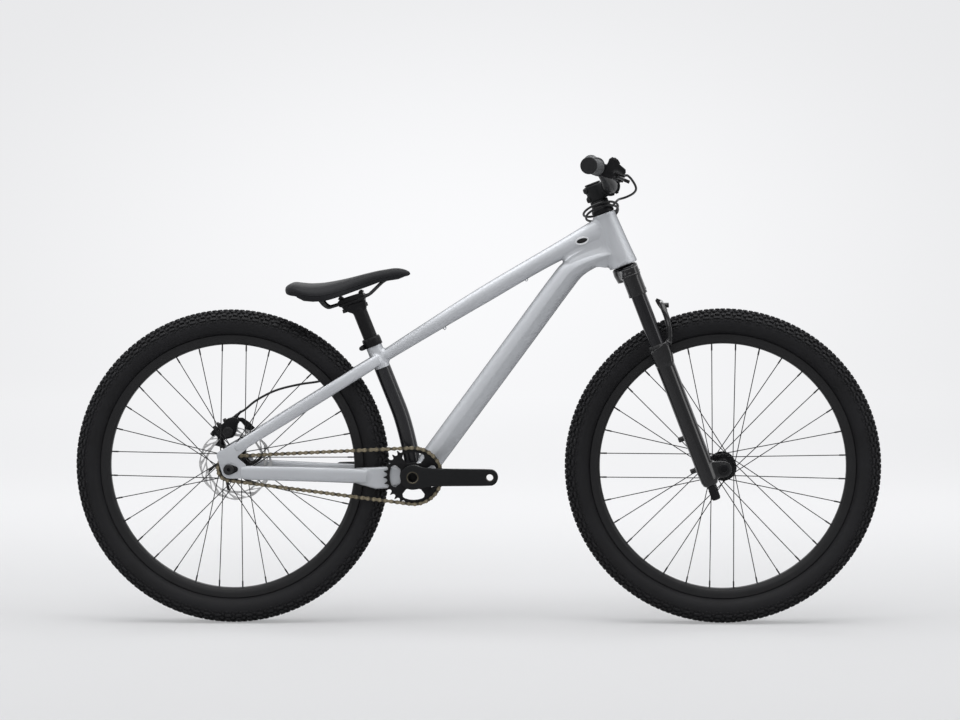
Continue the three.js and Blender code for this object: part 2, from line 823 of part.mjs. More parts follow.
// Chain drive. The chain wraps the ring's front, runs back along the bottom and wraps the cog.
const chainHeading = Math.atan2(rearAxle.z - bracket.z, rearAxle.x - bracket.x);
const chainContact = Math.acos((ringArcRadius - cogArcRadius) / chainSpan);
const chainTop = chainHeading - chainContact;
const chainBottom = chainHeading + chainContact;
const ringWrap = 2 * Math.PI - 2 * chainContact;
const cogWrap = 2 * chainContact;
const ringArcLength = ringWrap * ringArcRadius;
const straightLength = Math.sqrt(chainSpan ** 2 - (ringArcRadius - cogArcRadius) ** 2);
const cogArcStart = ringArcLength + straightLength;
const cogArcLength = cogWrap * cogArcRadius;
const firstCogRoller = Math.ceil(cogArcStart / chainLinkLength) * chainLinkLength;
const cogPhase = chainBottom - (firstCogRoller - cogArcStart) / cogArcRadius;

function circlePoint(centre, radius, angle) {
  return [centre.x + radius * Math.cos(angle), centre.z + radius * Math.sin(angle)];
}

// A roller's place and the way its outer side faces, at a length along the chain
function rollerAt(length) {
  if (length < ringArcLength) {
    const angle = chainTop - length / ringArcRadius;
    return { place: circlePoint(bracket, ringPitchRadius, angle), angle };
  }
  if (length < cogArcStart) {
    const share = (length - ringArcLength) / straightLength;
    const from = circlePoint(bracket, ringArcRadius, chainBottom);
    const to = circlePoint(rearAxle, cogArcRadius, chainBottom);
    return { place: [mix(from[0], to[0], share), mix(from[1], to[1], share)], angle: chainBottom };
  }
  if (length < cogArcStart + cogArcLength) {
    const angle = chainBottom - (length - cogArcStart) / cogArcRadius;
    return { place: circlePoint(rearAxle, cogPitchRadius, angle), angle };
  }
  const share = (length - cogArcStart - cogArcLength) / straightLength;
  const from = circlePoint(rearAxle, cogArcRadius, chainTop);
  const to = circlePoint(bracket, ringArcRadius, chainTop);
  return { place: [mix(from[0], to[0], share), mix(from[1], to[1], share)], angle: chainTop };
}

function chainLoop(offset) {
  const points = [];
  for (let step = 0; step <= ringArcSteps; step++) {
    const angle = chainTop - ringWrap * step / ringArcSteps;
    points.push(circlePoint(bracket, ringPitchRadius + offset, angle));
  }
  for (let step = 0; step <= cogArcSteps; step++) {
    const angle = chainBottom - cogWrap * step / cogArcSteps;
    points.push(circlePoint(rearAxle, cogPitchRadius + offset, angle));
  }
  return points;
}

function chain() {
  const inner = chainWidth / 2 - chainPlateThickness;
  const reach = inner + chainPlateThickness / 2;
  const outer = outline(chainLoop(chainPlateHeight / 2));
  const within = outline(chainLoop(-chainPlateHeight / 2));
  const middle = outline(chainLoop(chainPlateHeight));
  const plates = cut(
    solid(plate(outer, -chainLine - chainWidth / 2, -chainLine + chainWidth / 2)),
    plate(within, -chainLine - chainWidth, -chainLine + chainWidth),
    plate(middle, -chainLine - inner, -chainLine + inner),
  );
  const rollers = [];
  for (let link = 0; link < chainLinks; link += rollerStep) {
    const { place, angle } = rollerAt(link * chainLinkLength);
    const roller = discAcross(rollerRadius, -reach, reach, rollerSides).rotateY(-angle);
    rollers.push(roller.translate(place[0], -chainLine, place[1]));
  }
  return plates.add(joined(...rollers));
}

// A toothed outline about the origin, with a seat for each roller
function toothedShape(teeth, phase) {
  const step = 2 * Math.PI / teeth;
  const pitchRadius = chainLinkLength / (2 * Math.sin(step / 2));
  const tipRadius = pitchRadius + toothTipRise;
  const tipTurn = step / 2 - toothTipWidth / 2 / tipRadius;
  const points = [];
  for (let tooth = 0; tooth < teeth; tooth++) {
    const angle = phase + tooth * step;
    const ahead = [Math.cos(angle), Math.sin(angle)];
    const seat = (along, out) => {
      const radius = pitchRadius + out * toothSeatRadius;
      const side = along * toothSeatRadius;
      return [radius * ahead[0] - side * ahead[1], radius * ahead[1] + side * ahead[0]];
    };
    points.push([tipRadius * Math.cos(angle - tipTurn), tipRadius * Math.sin(angle - tipTurn)]);
    points.push(seat(-toothSideShare, -toothDepthShare));
    points.push(seat(toothSideShare, -toothDepthShare));
    points.push([tipRadius * Math.cos(angle + tipTurn), tipRadius * Math.sin(angle + tipTurn)]);
  }
  return outline(points);
}

// A faceted bore whose flats clear a round part that turns in it
function turningBore(radius, segments = hubSegments) {
  return (radius + runningGap) / Math.cos(Math.PI / segments);
}

function roundHole(radius, x = 0, z = 0) {
  const path = new THREE.Path();
  path.absarc(x, z, radius, 0, 2 * Math.PI, true);
  return path;
}

function cog() {
  const shape = toothedShape(cogTeeth, cogPhase);
  shape.holes.push(roundHole(cogCarrierRadius - fitGap));
  const half = toothThickness / 2;
  const carrier = ringAcross(
    turningBore(driverRadius), cogCarrierRadius,
    -chainLine - cogCarrierWidth / 2, -chainLine + cogCarrierWidth / 2,
  );
  return joined(plate(shape, -chainLine - half, -chainLine + half), carrier);
}

function ringWindow(centre) {
  const half = rad(ringWindowAngle) / 2;
  const path = new THREE.Path();
  path.absarc(0, 0, ringWindowOuter, centre - half, centre + half, false);
  path.absarc(0, 0, ringWindowInner, centre + half, centre - half, true);
  path.closePath();
  return path;
}

function chainring() {
  const shape = toothedShape(ringTeeth, chainTop);
  shape.holes.push(roundHole(ringBoreRadius));
  for (let window = 0; window < ringWindows; window++) {
    shape.holes.push(ringWindow(2 * Math.PI * window / ringWindows));
  }
  const half = toothThickness / 2;
  return plate(shape, -chainLine - half, -chainLine + half, ringCurveSteps);
}

function crankArm(side) {
  const outer = side * crankOuterFace;
  const armInner = side * (crankOuterFace - crankArmThickness);
  const bossInner = side * (chainLine + toothThickness / 2 + fitGap);
  const reach = -side * crankLength;
  const shape = linkShape(0, 0, crankRootRadius, reach, 0, crankEndRadius);
  const arm = joined(
    plate(shape, Math.min(outer, armInner), Math.max(outer, armInner), armCurveSteps),
    discAcross(crankBossRadius, Math.min(outer, bossInner), Math.max(outer, bossInner)),
  );
  const wide = crankOuterFace + overrun;
  const pedalHole = discAcross(pedalHoleRadius, -wide, wide, axleSegments).translate(reach, 0, 0);
  return cut(arm, discAcross(spindleRadius + fitGap, -wide, wide), pedalHole);
}

function bracketCup(side) {
  const inner = shellWidth / 2 - cupDepth;
  const shoulder = shellWidth / 2 + fitGap;
  const face = shoulder + cupFlangeWidth;
  return spunAcross([
    [turningBore(spindleRadius), side * inner],
    [shellBoreRadius - fitGap, side * inner],
    [shellBoreRadius - fitGap, side * shoulder],
    [cupFlangeRadius, side * shoulder],
    [cupFlangeRadius, side * face],
    [turningBore(spindleRadius), side * face],
  ], hubSegments);
}

function buildDrive() {
  const group = groupAt(bike, bracket);
  const half = spindleLength / 2;
  put(group, 'crank_spindle', 'black', ringAcross(spindleBoreRadius, spindleRadius, -half, half));
  put(group, 'crank_arm_right', 'black', crankArm(-1));
  put(group, 'crank_arm_left', 'black', crankArm(1));
  put(group, 'chainring', 'black', chainring());
  put(group, 'bottom_bracket_cup_left', 'steel', bracketCup(1));
  put(group, 'bottom_bracket_cup_right', 'steel', bracketCup(-1));
  put(bike, 'chain', 'chain', chain());
}

// Frame
function yokeGeometry() {
  const half = yokeWidth / 2;
  const points = [...yokeTopShares, ...yokeLowShares].map(([back, rise]) => [
    bracket.x - back * yokeReach, bracket.z + rise * yokeReach,
  ]);
  const body = joined(
    plate(outline(points.reverse()), -half, half),
    discAcross(shellRadius, -shellWidth / 2, shellWidth / 2).translate(bracket.x, 0, bracket.z),
  );
  const slot = discAcross(wheelRadius + yokeTyreGap, -yokeSlotWidth / 2, yokeSlotWidth / 2, wheelSegments)
    .translate(rearAxle.x, 0, rearAxle.z);
  const cups = [1, -1].map((side) => {
    const near = side * shellWidth / 2;
    const far = side * (half + overrun);
    return discAcross(cupFlangeRadius + overrun, Math.min(near, far), Math.max(near, far))
      .translate(bracket.x, 0, bracket.z);
  });
  const bore = discAcross(shellBoreRadius, -half, half).translate(bracket.x, 0, bracket.z);
  return cut(body, slot, ...cups, bore, seatTubeShape(fitGap));
}

function headTubeProfile(grow) {
  const collar = headTubeLength * headCollarShare;
  return [
    [headTopRadius + grow, 0],
    [headTopRadius + grow, -collar],
    [headLowRadius + grow, -headTubeLength + collar],
    [headLowRadius + grow, -headTubeLength],
  ];
}

function headTube() {
  const seat = headBearingHeight + fitGap;
  return spunUpright([
    ...headTubeProfile(0),
    [lowerSeatRadius, -headTubeLength],
    [lowerSeatRadius, -headTubeLength + seat],
    [headBoreLow, -headTubeLength + seat],
    [headBoreTop, -seat],
    [upperSeatRadius, -seat],
    [upperSeatRadius, 0],
  ], turningSegments);
}

// The head tube as a cutting tool for the tubes that meet it
function headTubeTool() {
  const profile = headTubeProfile(fitGap);
  const top = [[0, overrun], [headTopRadius + fitGap, overrun]];
  const low = [[headLowRadius + fitGap, -headTubeLength - overrun], [0, -headTubeLength - overrun]];
  return spunUpright([...top, ...profile, ...low], turningSegments).applyMatrix4(steeringPlace);
}

function seatAxisPoint(drop) {
  return seatTop.clone().addScaledVector(seatUp, -drop);
}

function headAxisPoint(drop) {
  return headTop.clone().addScaledVector(steerUp, -drop);
}

// Stations along a straight run that bows to one side in the bike's middle plane
function bowedStations(from, to, bow, shares, wide, high) {
  const run = new THREE.Vector3().subVectors(to, from);
  const normal = new THREE.Vector3(-run.z, 0, run.x).normalize();
  return shares.map(([along, aside, wideShare, highShare]) => ({
    at: from.clone().addScaledVector(run, along).addScaledVector(normal, aside * bow),
    wide: wide * wideShare,
    high: high * highShare,
  }));
}

function topTubeShape() {
  const stations = bowedStations(
    seatAxisPoint(topTubeRearDrop), headAxisPoint(topTubeHeadDrop), topTubeBow,
    topTubeShares, topTubeWidth, topTubeHeight,
  );
  return shapedTube(stations, acrossAxis, tubeSides, tubeSquareness);
}

function downTubeShape(grow) {
  const foot = new THREE.Vector3(bracket.x + downTubeFootAhead, 0, bracket.z - downTubeFootDrop);
  const stations = bowedStations(
    foot, headAxisPoint(headTubeLength - downTubeHeadRise), downTubeBow,
    downTubeShares, downTubeWidth, downTubeHeight,
  );
  return shapedTube(stations, acrossAxis, tubeSides, downTubeSquareness, grow);
}

function seatTubePath() {
  const bend = seatAxisPoint(seatTubeStraight);
  const lead = seatAxisPoint(seatTubeStraight * (1 + seatTubeLeadShare));
  const curve = new THREE.QuadraticBezierCurve3(bend, lead, bracket);
  return [seatTop, ...curve.getPoints(seatTubeBendSteps)];
}

function seatTubeShape(grow) {
  const wide = 2 * seatTubeRadius;
  const stations = seatTubePath().map((at) => ({ at, wide, high: wide }));
  return shapedTube(stations, acrossAxis, seatTubeSides, 2, grow);
}

function shellTool() {
  return discAcross(shellRadius + fitGap, -yokeWidth / 2, yokeWidth / 2).translate(bracket.x, 0, bracket.z);
}

// The two small eyelets under the top tube
function eyelet(share) {
  const stations = bowedStations(
    seatAxisPoint(topTubeRearDrop), headAxisPoint(topTubeHeadDrop), topTubeBow,
    topTubeShares, topTubeWidth, topTubeHeight,
  );
  const path = new THREE.CatmullRomCurve3(stations.map((station) => station.at));
  const centre = path.getPointAt(share);
  const along = path.getTangentAt(share);
  const slope = Math.atan2(along.z, along.x);
  const half = eyeletSize / 2;
  const drop = topTubeHeight / 2 * eyeletDropShare;
  const body = solid(block(-half, half, -half, half, -drop - eyeletSize, -drop / 2));
  const hole = block(-eyeletSize, eyeletSize, -half / 2, half / 2, -drop - 1.5 * half, -drop - half / 2);
  return geometryOf(cut(body, hole)).applyMatrix4(placeAt(centre, slope));
}

function seatStay(side) {
  const from = seatAxisPoint(seatStayDrop).setY(side * seatStayTopOffset);
  const end = dropoutPoint(seatStayEndShares);
  const to = new THREE.Vector3(end[0], side * (dropoutFaceOffset + dropoutThickness / 2), end[1]);
  const stations = seatStayShares.map(([run, spread, size]) => ({
    at: new THREE.Vector3(mix(from.x, to.x, run), mix(from.y, to.y, spread), mix(from.z, to.z, run)),
    wide: seatStayWidth * size,
    high: seatStayHeight * size,
  }));
  const stay = solid(shapedTube(stations, acrossAxis, staySides, tubeSquareness));
  const seatTool = rod(
    seatTubeRadius + fitGap, seatAxisPoint(-overrun), seatAxisPoint(seatTubeStraight), seatTubeSides,
  );
  return cut(stay, seatTool, dropoutEdgeTool());
}

function dropoutPoint([along, up]) {
  return [rearAxle.x + along * dropoutArm, rearAxle.z + up * dropoutArm];
}

// Everything behind the dropout's upper edge, where the seat stay is welded on
function dropoutEdgeTool() {
  const low = dropoutPoint(dropoutShares[1]);
  const high = dropoutPoint(dropoutShares[2]);
  const slope = Math.atan2(high[1] - low[1], high[0] - low[0]);
  const centre = new THREE.Vector3(low[0], 0, low[1]);
  const size = wheelRadius / 2;
  return block(-size, size, -size, size, -size, fitGap).applyMatrix4(placeAt(centre, slope));
}

function chainStay(side) {
  const front = bracket.x - yokeReach - fitGap;
  const rear = rearAxle.x + dropoutShares[4][0] * dropoutArm + fitGap;
  const frontRise = (yokeTopShares[0][1] + yokeLowShares[yokeLowShares.length - 1][1]) / 2 * yokeReach;
  const from = new THREE.Vector3(front, side * (yokeSlotWidth + chainStayWidth) / 2, bracket.z + frontRise);
  const spread = dropoutFaceOffset + dropoutThickness / 2;
  const to = new THREE.Vector3(rear, side * spread, rearAxle.z - chainStayRearDrop);
  const stations = chainStayShares.map(([run, aside, size]) => ({
    at: new THREE.Vector3(mix(from.x, to.x, run), mix(from.y, to.y, aside), mix(from.z, to.z, run)),
    wide: chainStayWidth * size,
    high: chainStayHeight * size,
  }));
  const stay = solid(shapedTube(stations, acrossAxis, staySides, tubeSquareness));
  const size = chainStayWidth * 2;
  const far = yokeWidth;
  const frontTool = block(front, front + size, -far, far, from.z - size, from.z + size);
  const rearTool = block(rear - size, rear, -far, far, to.z - size, to.z + size);
  return cut(stay, frontTool, rearTool);
}

function dropout(side) {
  const shape = outline(dropoutShares.map(dropoutPoint).reverse());
  shape.holes.push(roundHole(rearAxleRadius + fitGap, rearAxle.x, rearAxle.z));
  const near = side * dropoutFaceOffset;
  const far = side * (dropoutFaceOffset + dropoutThickness);
  return plate(shape, Math.min(near, far), Math.max(near, far));
}

function buildFrame() {
  const head = groupAt(bike, headTop, headTilt);
  put(head, 'head_tube', 'frame', headTube());
  const channel = hoseTube(heldHosePath(), hoseRadius + hoseChannelGap, channelSteps);
  const eyelets = eyeletShares.map(eyelet);
  const topTube = joined(topTubeShape(), ...eyelets);
  const neighbours = [headTubeTool(), seatTubeShape(fitGap), downTubeShape(fitGap)];
  put(bike, 'top_tube', 'frame', cut(topTube, ...neighbours, channel));
  put(bike, 'down_tube', 'frame', cut(solid(downTubeShape(0)), headTubeTool(), shellTool()));
  const postBore = rod(seatTubeBore, seatAxisPoint(-overrun), seatAxisPoint(seatTubeStraight), seatTubeSides);
  put(bike, 'seat_tube', 'frame', cut(solid(seatTubeShape(0)), downTubeShape(fitGap), shellTool(), postBore));
  put(bike, 'bottom_bracket_yoke', 'frame', yokeGeometry());
  for (const [word, side] of [['left', 1], ['right', -1]]) {
    put(bike, `chainstay_${word}`, 'frame', chainStay(side));
    put(bike, `seatstay_${word}`, 'frame', seatStay(side));
    put(bike, `dropout_${word}`, 'frame', dropout(side));
  }
}

// Steering parts, measured up and down the steering axis from the top of the head tube
function below(drop) {
  return -headTubeLength - drop;
}

function headsetBearing(outer, inner, low, high) {
  return ringUpright(turningBore(inner, turningSegments), outer - fitGap, low, high, turningSegments);
}

function spacers() {
  const bore = steererRadius + fitGap;
  const collar = coneHeight * coneCollarShare;
  return spunUpright([
    [bore, fitGap],
    [coneLowRadius, fitGap],
    [coneLowRadius, collar],
    [coneTopRadius, collar + coneLowRadius - coneTopRadius],
    [coneTopRadius, coneHeight],
    [bore, coneHeight],
  ], turningSegments);
}

// A disc on one fork leg's axis, between two drops under the head tube
function legDisc(side, radius, from, to, segments = hubSegments) {
  return discUpright(radius, below(to), below(from), segments).translate(legAhead, side * legOffset, 0);
}

function crownShape(side) {
  return linkShape(0, 0, crownRadius, legAhead, side * legOffset, socketRadius);
}

function crown() {
  const steerer = spunUpright([
    [0, steererTop],
    [steererRadius, steererTop],
    [steererRadius, -headTubeLength * (1 - steererTaperShare)],
    [steererLowRadius, -headTubeLength * steererTaperShare],
    [steererLowRadius, below(crownHeight / 2)],
    [0, below(crownHeight / 2)],
  ], turningSegments);
  const bridges = [1, -1].map((side) => extruded(crownShape(side), crownHeight - crownTop, crownCurveSteps)
    .translate(0, 0, below(crownHeight)));
  const sockets = [1, -1].map((side) => legDisc(side, socketRadius, socketTop, socketEnd));
  const shoulders = [1, -1].map((side) => legDisc(side, socketRadius + fitGap, 0, socketTop));
  const bores = [1, -1].map((side) => (
    legDisc(side, stanchionRadius + fitGap, stanchionStart, socketEnd + overrun)
  ));
  return cut(joined(steerer, ...bridges, ...sockets), ...shoulders, ...bores);
}

function stanchion(side) {
  return legDisc(side, stanchionRadius, stanchionStart + fitGap, stanchionEnd);
}

function forkArch() {
  const halfPath = archShares.map(([ahead, spread, drop]) => [
    mix(legAhead, archAhead, ahead), archSpread * spread, below(archTop + archFootDrop * drop),
  ]);
  const knots = [
    ...halfPath.map(([ahead, across, up]) => new THREE.Vector3(ahead, -across, up)),
    ...halfPath.reverse().slice(1).map(([ahead, across, up]) => new THREE.Vector3(ahead, across, up)),
  ];
  const path = new THREE.CatmullRomCurve3(knots, false, 'centripetal');
  const places = path.getSpacedPoints(archSteps);
  const stations = places.map((at) => ({ at, wide: archThickness, high: archWidth }));
  return shapedTube(stations, aheadAxis, archSides, tubeSquareness);
}

function forkLowers() {
  const axleAt = [forkOffset, below(axleToCrown)];
  const bossAt = [legAhead, below(axleToCrown - axleBossRise)];
  const pieces = [forkArch()];
  const tools = [
    discAcross(frontAxleRadius + fitGap, -frontHubWidth, frontHubWidth).translate(axleAt[0], 0, axleAt[1]),
  ];
  for (const side of [1, -1]) {
    const near = side * frontHubWidth / 2;
    const far = side * (frontHubWidth / 2 + axleBossThickness);
    const boss = linkShape(...bossAt, lowerRadius - legBossInset, ...axleAt, axleBossRadius);
    pieces.push(
      legDisc(side, lowerRadius, lowerTop, lowerEnd),
      legDisc(side, sealRadius, lowerTop, lowerTop + sealHeight),
      legDisc(side, footBoltRadius, lowerEnd - overrun, lowerEnd + footBoltLength, axleSegments),
      plate(boss, Math.min(near, far), Math.max(near, far)),
    );
    tools.push(legDisc(side, stanchionRadius + fitGap, lowerTop - overrun, lowerBoreEnd));
  }
  for (const drop of mountLugDrops) {
    const from = new THREE.Vector3(legAhead, mountLugOffset, below(drop));
    const to = new THREE.Vector3(legAhead - mountLugReach, mountLugOffset, below(drop));
    pieces.push(rod(mountLugRadius, from, to, axleSegments));
  }
  return cut(joined(...pieces), ...tools);
}

// Handlebar, from one end to the other, with its rise and sweep
function barStations() {
  const half = barShares.map(([reach, rise, sweep, taper]) => ({
    at: new THREE.Vector3(stemReach - sweep * barSweep, reach * barWidth / 2, stemRise + rise * barRise),
    wide: 2 * mix(barClampTubeRadius, barGripTubeRadius, taper),
    high: 2 * mix(barClampTubeRadius, barGripTubeRadius, taper),
  }));
  const right = half.slice(1).reverse().map((station) => ({
    ...station, at: station.at.clone().setY(-station.at.y),
  }));
  return [...right, ...half];
}

function handlebar(grow) {
  return shapedTube(barStations(), aheadAxis, barSides, 2, grow);
}

function barPoint(across) {
  const stations = barStations();
  const next = stations.findIndex((station) => station.at.y >= across);
  const from = stations[next - 1].at;
  const to = stations[next].at;
  return from.clone().lerp(to, (across - from.y) / (to.y - from.y));
}

function grip(side) {
  const half = barWidth / 2;
  const end = barPoint(side * (half - fitGap));
  const inner = barPoint(side * (half - gripLength));
  const out = new THREE.Vector3().subVectors(end, inner).normalize();
  const tip = end.clone().addScaledVector(out, gripEndWall + 2 * fitGap);
  return cut(solid(rod(gripRadius, inner, tip, gripSides)), handlebar(fitGap));
}

function stem() {
  const top = stemBase + stemHeight;
  const half = stemWidth / 2;
  const blockHalf = stemHeight / 2;
  const middle = stemBase + blockHalf;
  const split = stemReach + faceplateSplit;
  const body = joined(
    discUpright(stemClampRadius, stemBase, top),
    block(0, stemReach, -stemClampRadius, stemClampRadius, middle - blockHalf, middle + blockHalf),
    discAcross(barClampRadius, -half, half).translate(stemReach, 0, stemRise),
    block(-stemEarReach, 0, -stemEarWidth / 2, stemEarWidth / 2, stemBase, top),
  );
  const far = stemReach + 2 * barClampRadius;
  return cut(
    body,
    block(split, far, -stemWidth, stemWidth, stemBase - stemHeight, top + stemHeight),
    handlebar(fitGap),
    discUpright(steererRadius + fitGap, stemBase - overrun, top + overrun, turningSegments),
    block(-2 * stemEarReach, 0, -stemSlotWidth / 2, stemSlotWidth / 2, stemBase - overrun, top + overrun),
  );
}

function faceplate() {
  const half = stemWidth / 2;
  const split = stemReach + faceplateSplit + fitGap;
  const round = solid(discAcross(barClampRadius, -half, half).translate(stemReach, 0, stemRise));
  const behind = block(0, split, -stemWidth, stemWidth, 0, 2 * stemRise);
  return cut(round, behind, handlebar(fitGap));
}

// The brake's clamp, cylinder and lever, laid out from the bar forward and down
const brakePlace = new THREE.Matrix4().makeRotationY(rad(brakeTilt)).setPosition(barPoint(-brakeAt));

function masterCylinder() {
  const half = brakeClampWidth / 2;
  const cylinderEnd = cylinderLength - cylinderOut;
  const earRise = leverThickness / 2 + fitGap;
  const ear = extruded(linkShape(
    cylinderReach, -leverPivotRadius, leverEarRadius, leverPivotReach, -leverPivotOut, leverPivotRadius,
  ), leverEarThickness, earCurveSteps);
  const pivotEnd = earRise + leverEarThickness / 2;
  const pivot = discUpright(leverPinRadius, -pivotEnd, pivotEnd, axleSegments)
    .translate(leverPivotReach, -leverPivotOut, 0);
  const body = joined(
    discAcross(brakeClampRadius, -half, half),
    block(barGripTubeRadius, cylinderReach, -half, half, -half, half),
    discAcross(cylinderRadius, -cylinderOut, cylinderEnd).translate(cylinderReach, 0, 0),
    block(
      cylinderReach - reservoirWidth / 2, cylinderReach + reservoirWidth / 2,
      -cylinderOut + cylinderRadius, -cylinderOut + cylinderRadius + reservoirLength, 0, reservoirHeight,
    ),
    ear.clone().translate(0, 0, earRise),
    ear.clone().translate(0, 0, -earRise - leverEarThickness),
    pivot,
    rod(barbRadius, ...leverBarb(), axleSegments),
  );
  return cut(transformed(body, brakePlace), handlebar(fitGap));
}

// The ends of the barb that the hose leaves from, at the inner end of the cylinder
function leverBarb() {
  const cylinderEnd = cylinderLength - cylinderOut;
  return [
    new THREE.Vector3(cylinderReach, cylinderEnd - cylinderRadius, 0),
    new THREE.Vector3(cylinderReach + barbAhead, cylinderEnd + barbLength, barbRise),
  ];
}

// The first two places of a hose past a barb's end. It runs straight there for one diameter.
function hoseEnd(barbFrom, barbTo) {
  const ahead = new THREE.Vector3().subVectors(barbTo, barbFrom).normalize();
  const start = barbTo.clone().addScaledVector(ahead, hoseEndGap);
  return [start, start.clone().addScaledVector(ahead, 2 * hoseRadius)];
}

function transformed(body, place) {
  return solid(geometryOf(body).applyMatrix4(place));
}

function brakeLever() {
  const half = leverThickness / 2;
  const reach = leverPivotReach;
  const points = leverShares.map(([out, aside]) => new THREE.Vector2(
    reach + aside * leverBladeWidth, -leverPivotOut - out * leverLength,
  ));
  const blade = extruded(new THREE.Shape(points), leverThickness).translate(0, 0, -half);
  const eye = discUpright(leverPivotRadius, -half, half, axleSegments).translate(reach, -leverPivotOut, 0);
  const tip = discUpright(leverTipRadius, -half, half, axleSegments)
    .translate(reach + leverTipShare * leverBladeWidth, -leverPivotOut - leverLength, 0);
  const hole = discUpright(leverPinRadius + fitGap, -leverThickness, leverThickness, axleSegments)
    .translate(reach, -leverPivotOut, 0);
  return transformed(cut(joined(blade, eye, tip), hole), brakePlace);
}

function buildSteering() {
  const group = groupAt(bike, headTop, headTilt);
  const bearingLow = -headTubeLength + headBearingHeight;
  put(group, 'headset_bearing_upper', 'steel', headsetBearing(
    upperSeatRadius, steererRadius, -headBearingHeight, 0,
  ));
  put(group, 'headset_bearing_lower', 'steel', headsetBearing(
    lowerSeatRadius, steererLowRadius, -headTubeLength, bearingLow,
  ));
  put(group, 'headset_spacers', 'black', spacers());
  put(group, 'fork_crown_steerer', 'gloss', crown());
  put(group, 'fork_lowers', 'gloss', forkLowers());
  put(group, 'stem', 'black', stem());
  put(group, 'stem_faceplate', 'black', faceplate());
  const capBase = stemBase + stemHeight + fitGap;
  put(group, 'stem_top_cap', 'black', discUpright(capRadius, capBase, capBase + capThickness));
  put(group, 'handlebar', 'black', handlebar(0));
  put(group, 'brake_master_cylinder', 'black', masterCylinder());
  put(group, 'brake_lever', 'black', brakeLever());
  for (const [word, side] of [['left', 1], ['right', -1]]) {
    put(group, `stanchion_${word}`, 'gloss', stanchion(side));
    put(group, `grip_${word}`, 'grip', grip(side));
  }
}

// Rear brake. The caliper lies along the left dropout's upper edge, over the rotor's rim.
const caliperFrom = dropoutPoint(dropoutShares[0]);
const caliperTo = dropoutPoint(dropoutShares[1]);
const caliperMiddle = new THREE.Vector3(
  mix(caliperFrom[0], caliperTo[0], caliperAlongShare), 0,
  mix(caliperFrom[1], caliperTo[1], caliperAlongShare),
);
const caliperTilt = Math.atan2(caliperTo[1] - caliperFrom[1], caliperTo[0] - caliperFrom[0]);
const caliperPlace = placeAt(caliperMiddle, caliperTilt);

function caliperOutline(shares) {
  return outline(shares.map(([along, rise]) => [along * caliperSize, rise * caliperSize]));
}

function caliperBarbPoint([along, rise]) {
  return new THREE.Vector3(along * caliperSize, caliperBarbAcross, rise * caliperSize);
}

function caliper() {
  const foot = dropoutFaceOffset + dropoutThickness;
  const discLow = rotorPlane - rotorThickness / 2 - padGap;
  const discHigh = rotorPlane + rotorThickness / 2 + padGap;
  const armInner = discHigh + caliperArmGap;
  const halfPad = padLength / 2 + fitGap;
  const padOuter = rotorThickness / 2 + padGap + padThickness + fitGap;
  const body = joined(
    plate(caliperOutline(caliperBodyShares), caliperInner, caliperOuter),
    plate(caliperOutline(caliperArmShares), armInner, caliperOuter),
    plate(caliperOutline(caliperFootShares), armInner, foot),
    rod(barbRadius, ...caliperBarbShares.map(caliperBarbPoint), axleSegments),
  );
  const disc = discAcross(rotorRadius + rotorClearance, discLow, discHigh, wheelSegments)
    .translate(rearAxle.x, 0, rearAxle.z);
  const pocket = block(
    caliperPadAt - halfPad, caliperPadAt + halfPad, rotorPlane - padOuter, rotorPlane + padOuter,
    -caliperSize, caliperPadRise + padHeight + fitGap,
  ).applyMatrix4(caliperPlace);
  return cut(transformed(body, caliperPlace), disc, pocket, dropoutEdgeTool());
}

function brakePad(side) {
  const near = rotorPlane + side * (rotorThickness / 2 + padGap);
  const far = near + side * padThickness;
  return block(
    caliperPadAt - padLength / 2, caliperPadAt + padLength / 2,
    Math.min(near, far), Math.max(near, far), caliperPadRise, caliperPadRise + padHeight,
  ).applyMatrix4(caliperPlace);
}

// Brake hose. Its held stretch runs inside the top tube, leaves it by the seat tube and follows the stay.
function heldHosePath() {
  const ends = hoseEnd(...caliperBarbShares.map(caliperBarbPoint));
  const points = heldHosePoints.map((point) => new THREE.Vector3(...point));
  const last = ends.reverse().map((point) => point.applyMatrix4(caliperPlace));
  return new THREE.CatmullRomCurve3([...points, ...last], false, 'centripetal');
}

function hoseTube(path, radius, steps) {
  return roundTube(path, radius, hoseSides, steps);
}

// The free stretch leaves the lever, winds round the steering axis and enters the top tube's left side
function freeHosePath() {
  const points = hoseEnd(...leverBarb()).map((point) => (
    point.applyMatrix4(brakePlace).applyMatrix4(steeringPlace)
  ));
  for (const point of leadInPoints) {
    points.push(new THREE.Vector3(...point));
  }
  for (let step = 0; step <= coilSteps; step++) {
    const share = step / coilSteps;
    const angle = coilStartAngle + share * coilTurns * 2 * Math.PI;
    const radius = coilRadius - share * coilTightening;
    const side = radius * Math.sin(angle);
    const lift = coilLift * Math.max(0, 1 - share * coilTurns / coilLiftTurns);
    points.push(new THREE.Vector3(
      coilAhead + radius * Math.cos(angle),
      side * Math.cos(rad(coilTilt)),
      coilHeight + lift - side * Math.sin(rad(coilTilt)) - share * coilTurns * coilPitch,
    ).applyMatrix4(steeringPlace));
  }
  for (const point of leadOutPoints) {
    points.push(new THREE.Vector3(...point));
  }
  return new THREE.CatmullRomCurve3(points, false, 'centripetal');
}

// The least clearance between two turns of a tube, from points farther apart along it than half a turn
function leastGapToItself(path, radius, turnRadius) {
  const length = path.getLength();
  const count = Math.ceil(length / radius);
  const places = path.getSpacedPoints(count);
  const skip = Math.ceil(Math.PI * turnRadius * count / length);
  let least = Infinity;
  for (let from = 0; from + skip <= count; from++) {
    for (let to = from + skip; to <= count; to++) {
      least = Math.min(least, places[from].distanceTo(places[to]) - 2 * radius);
    }
  }
  return least;
}

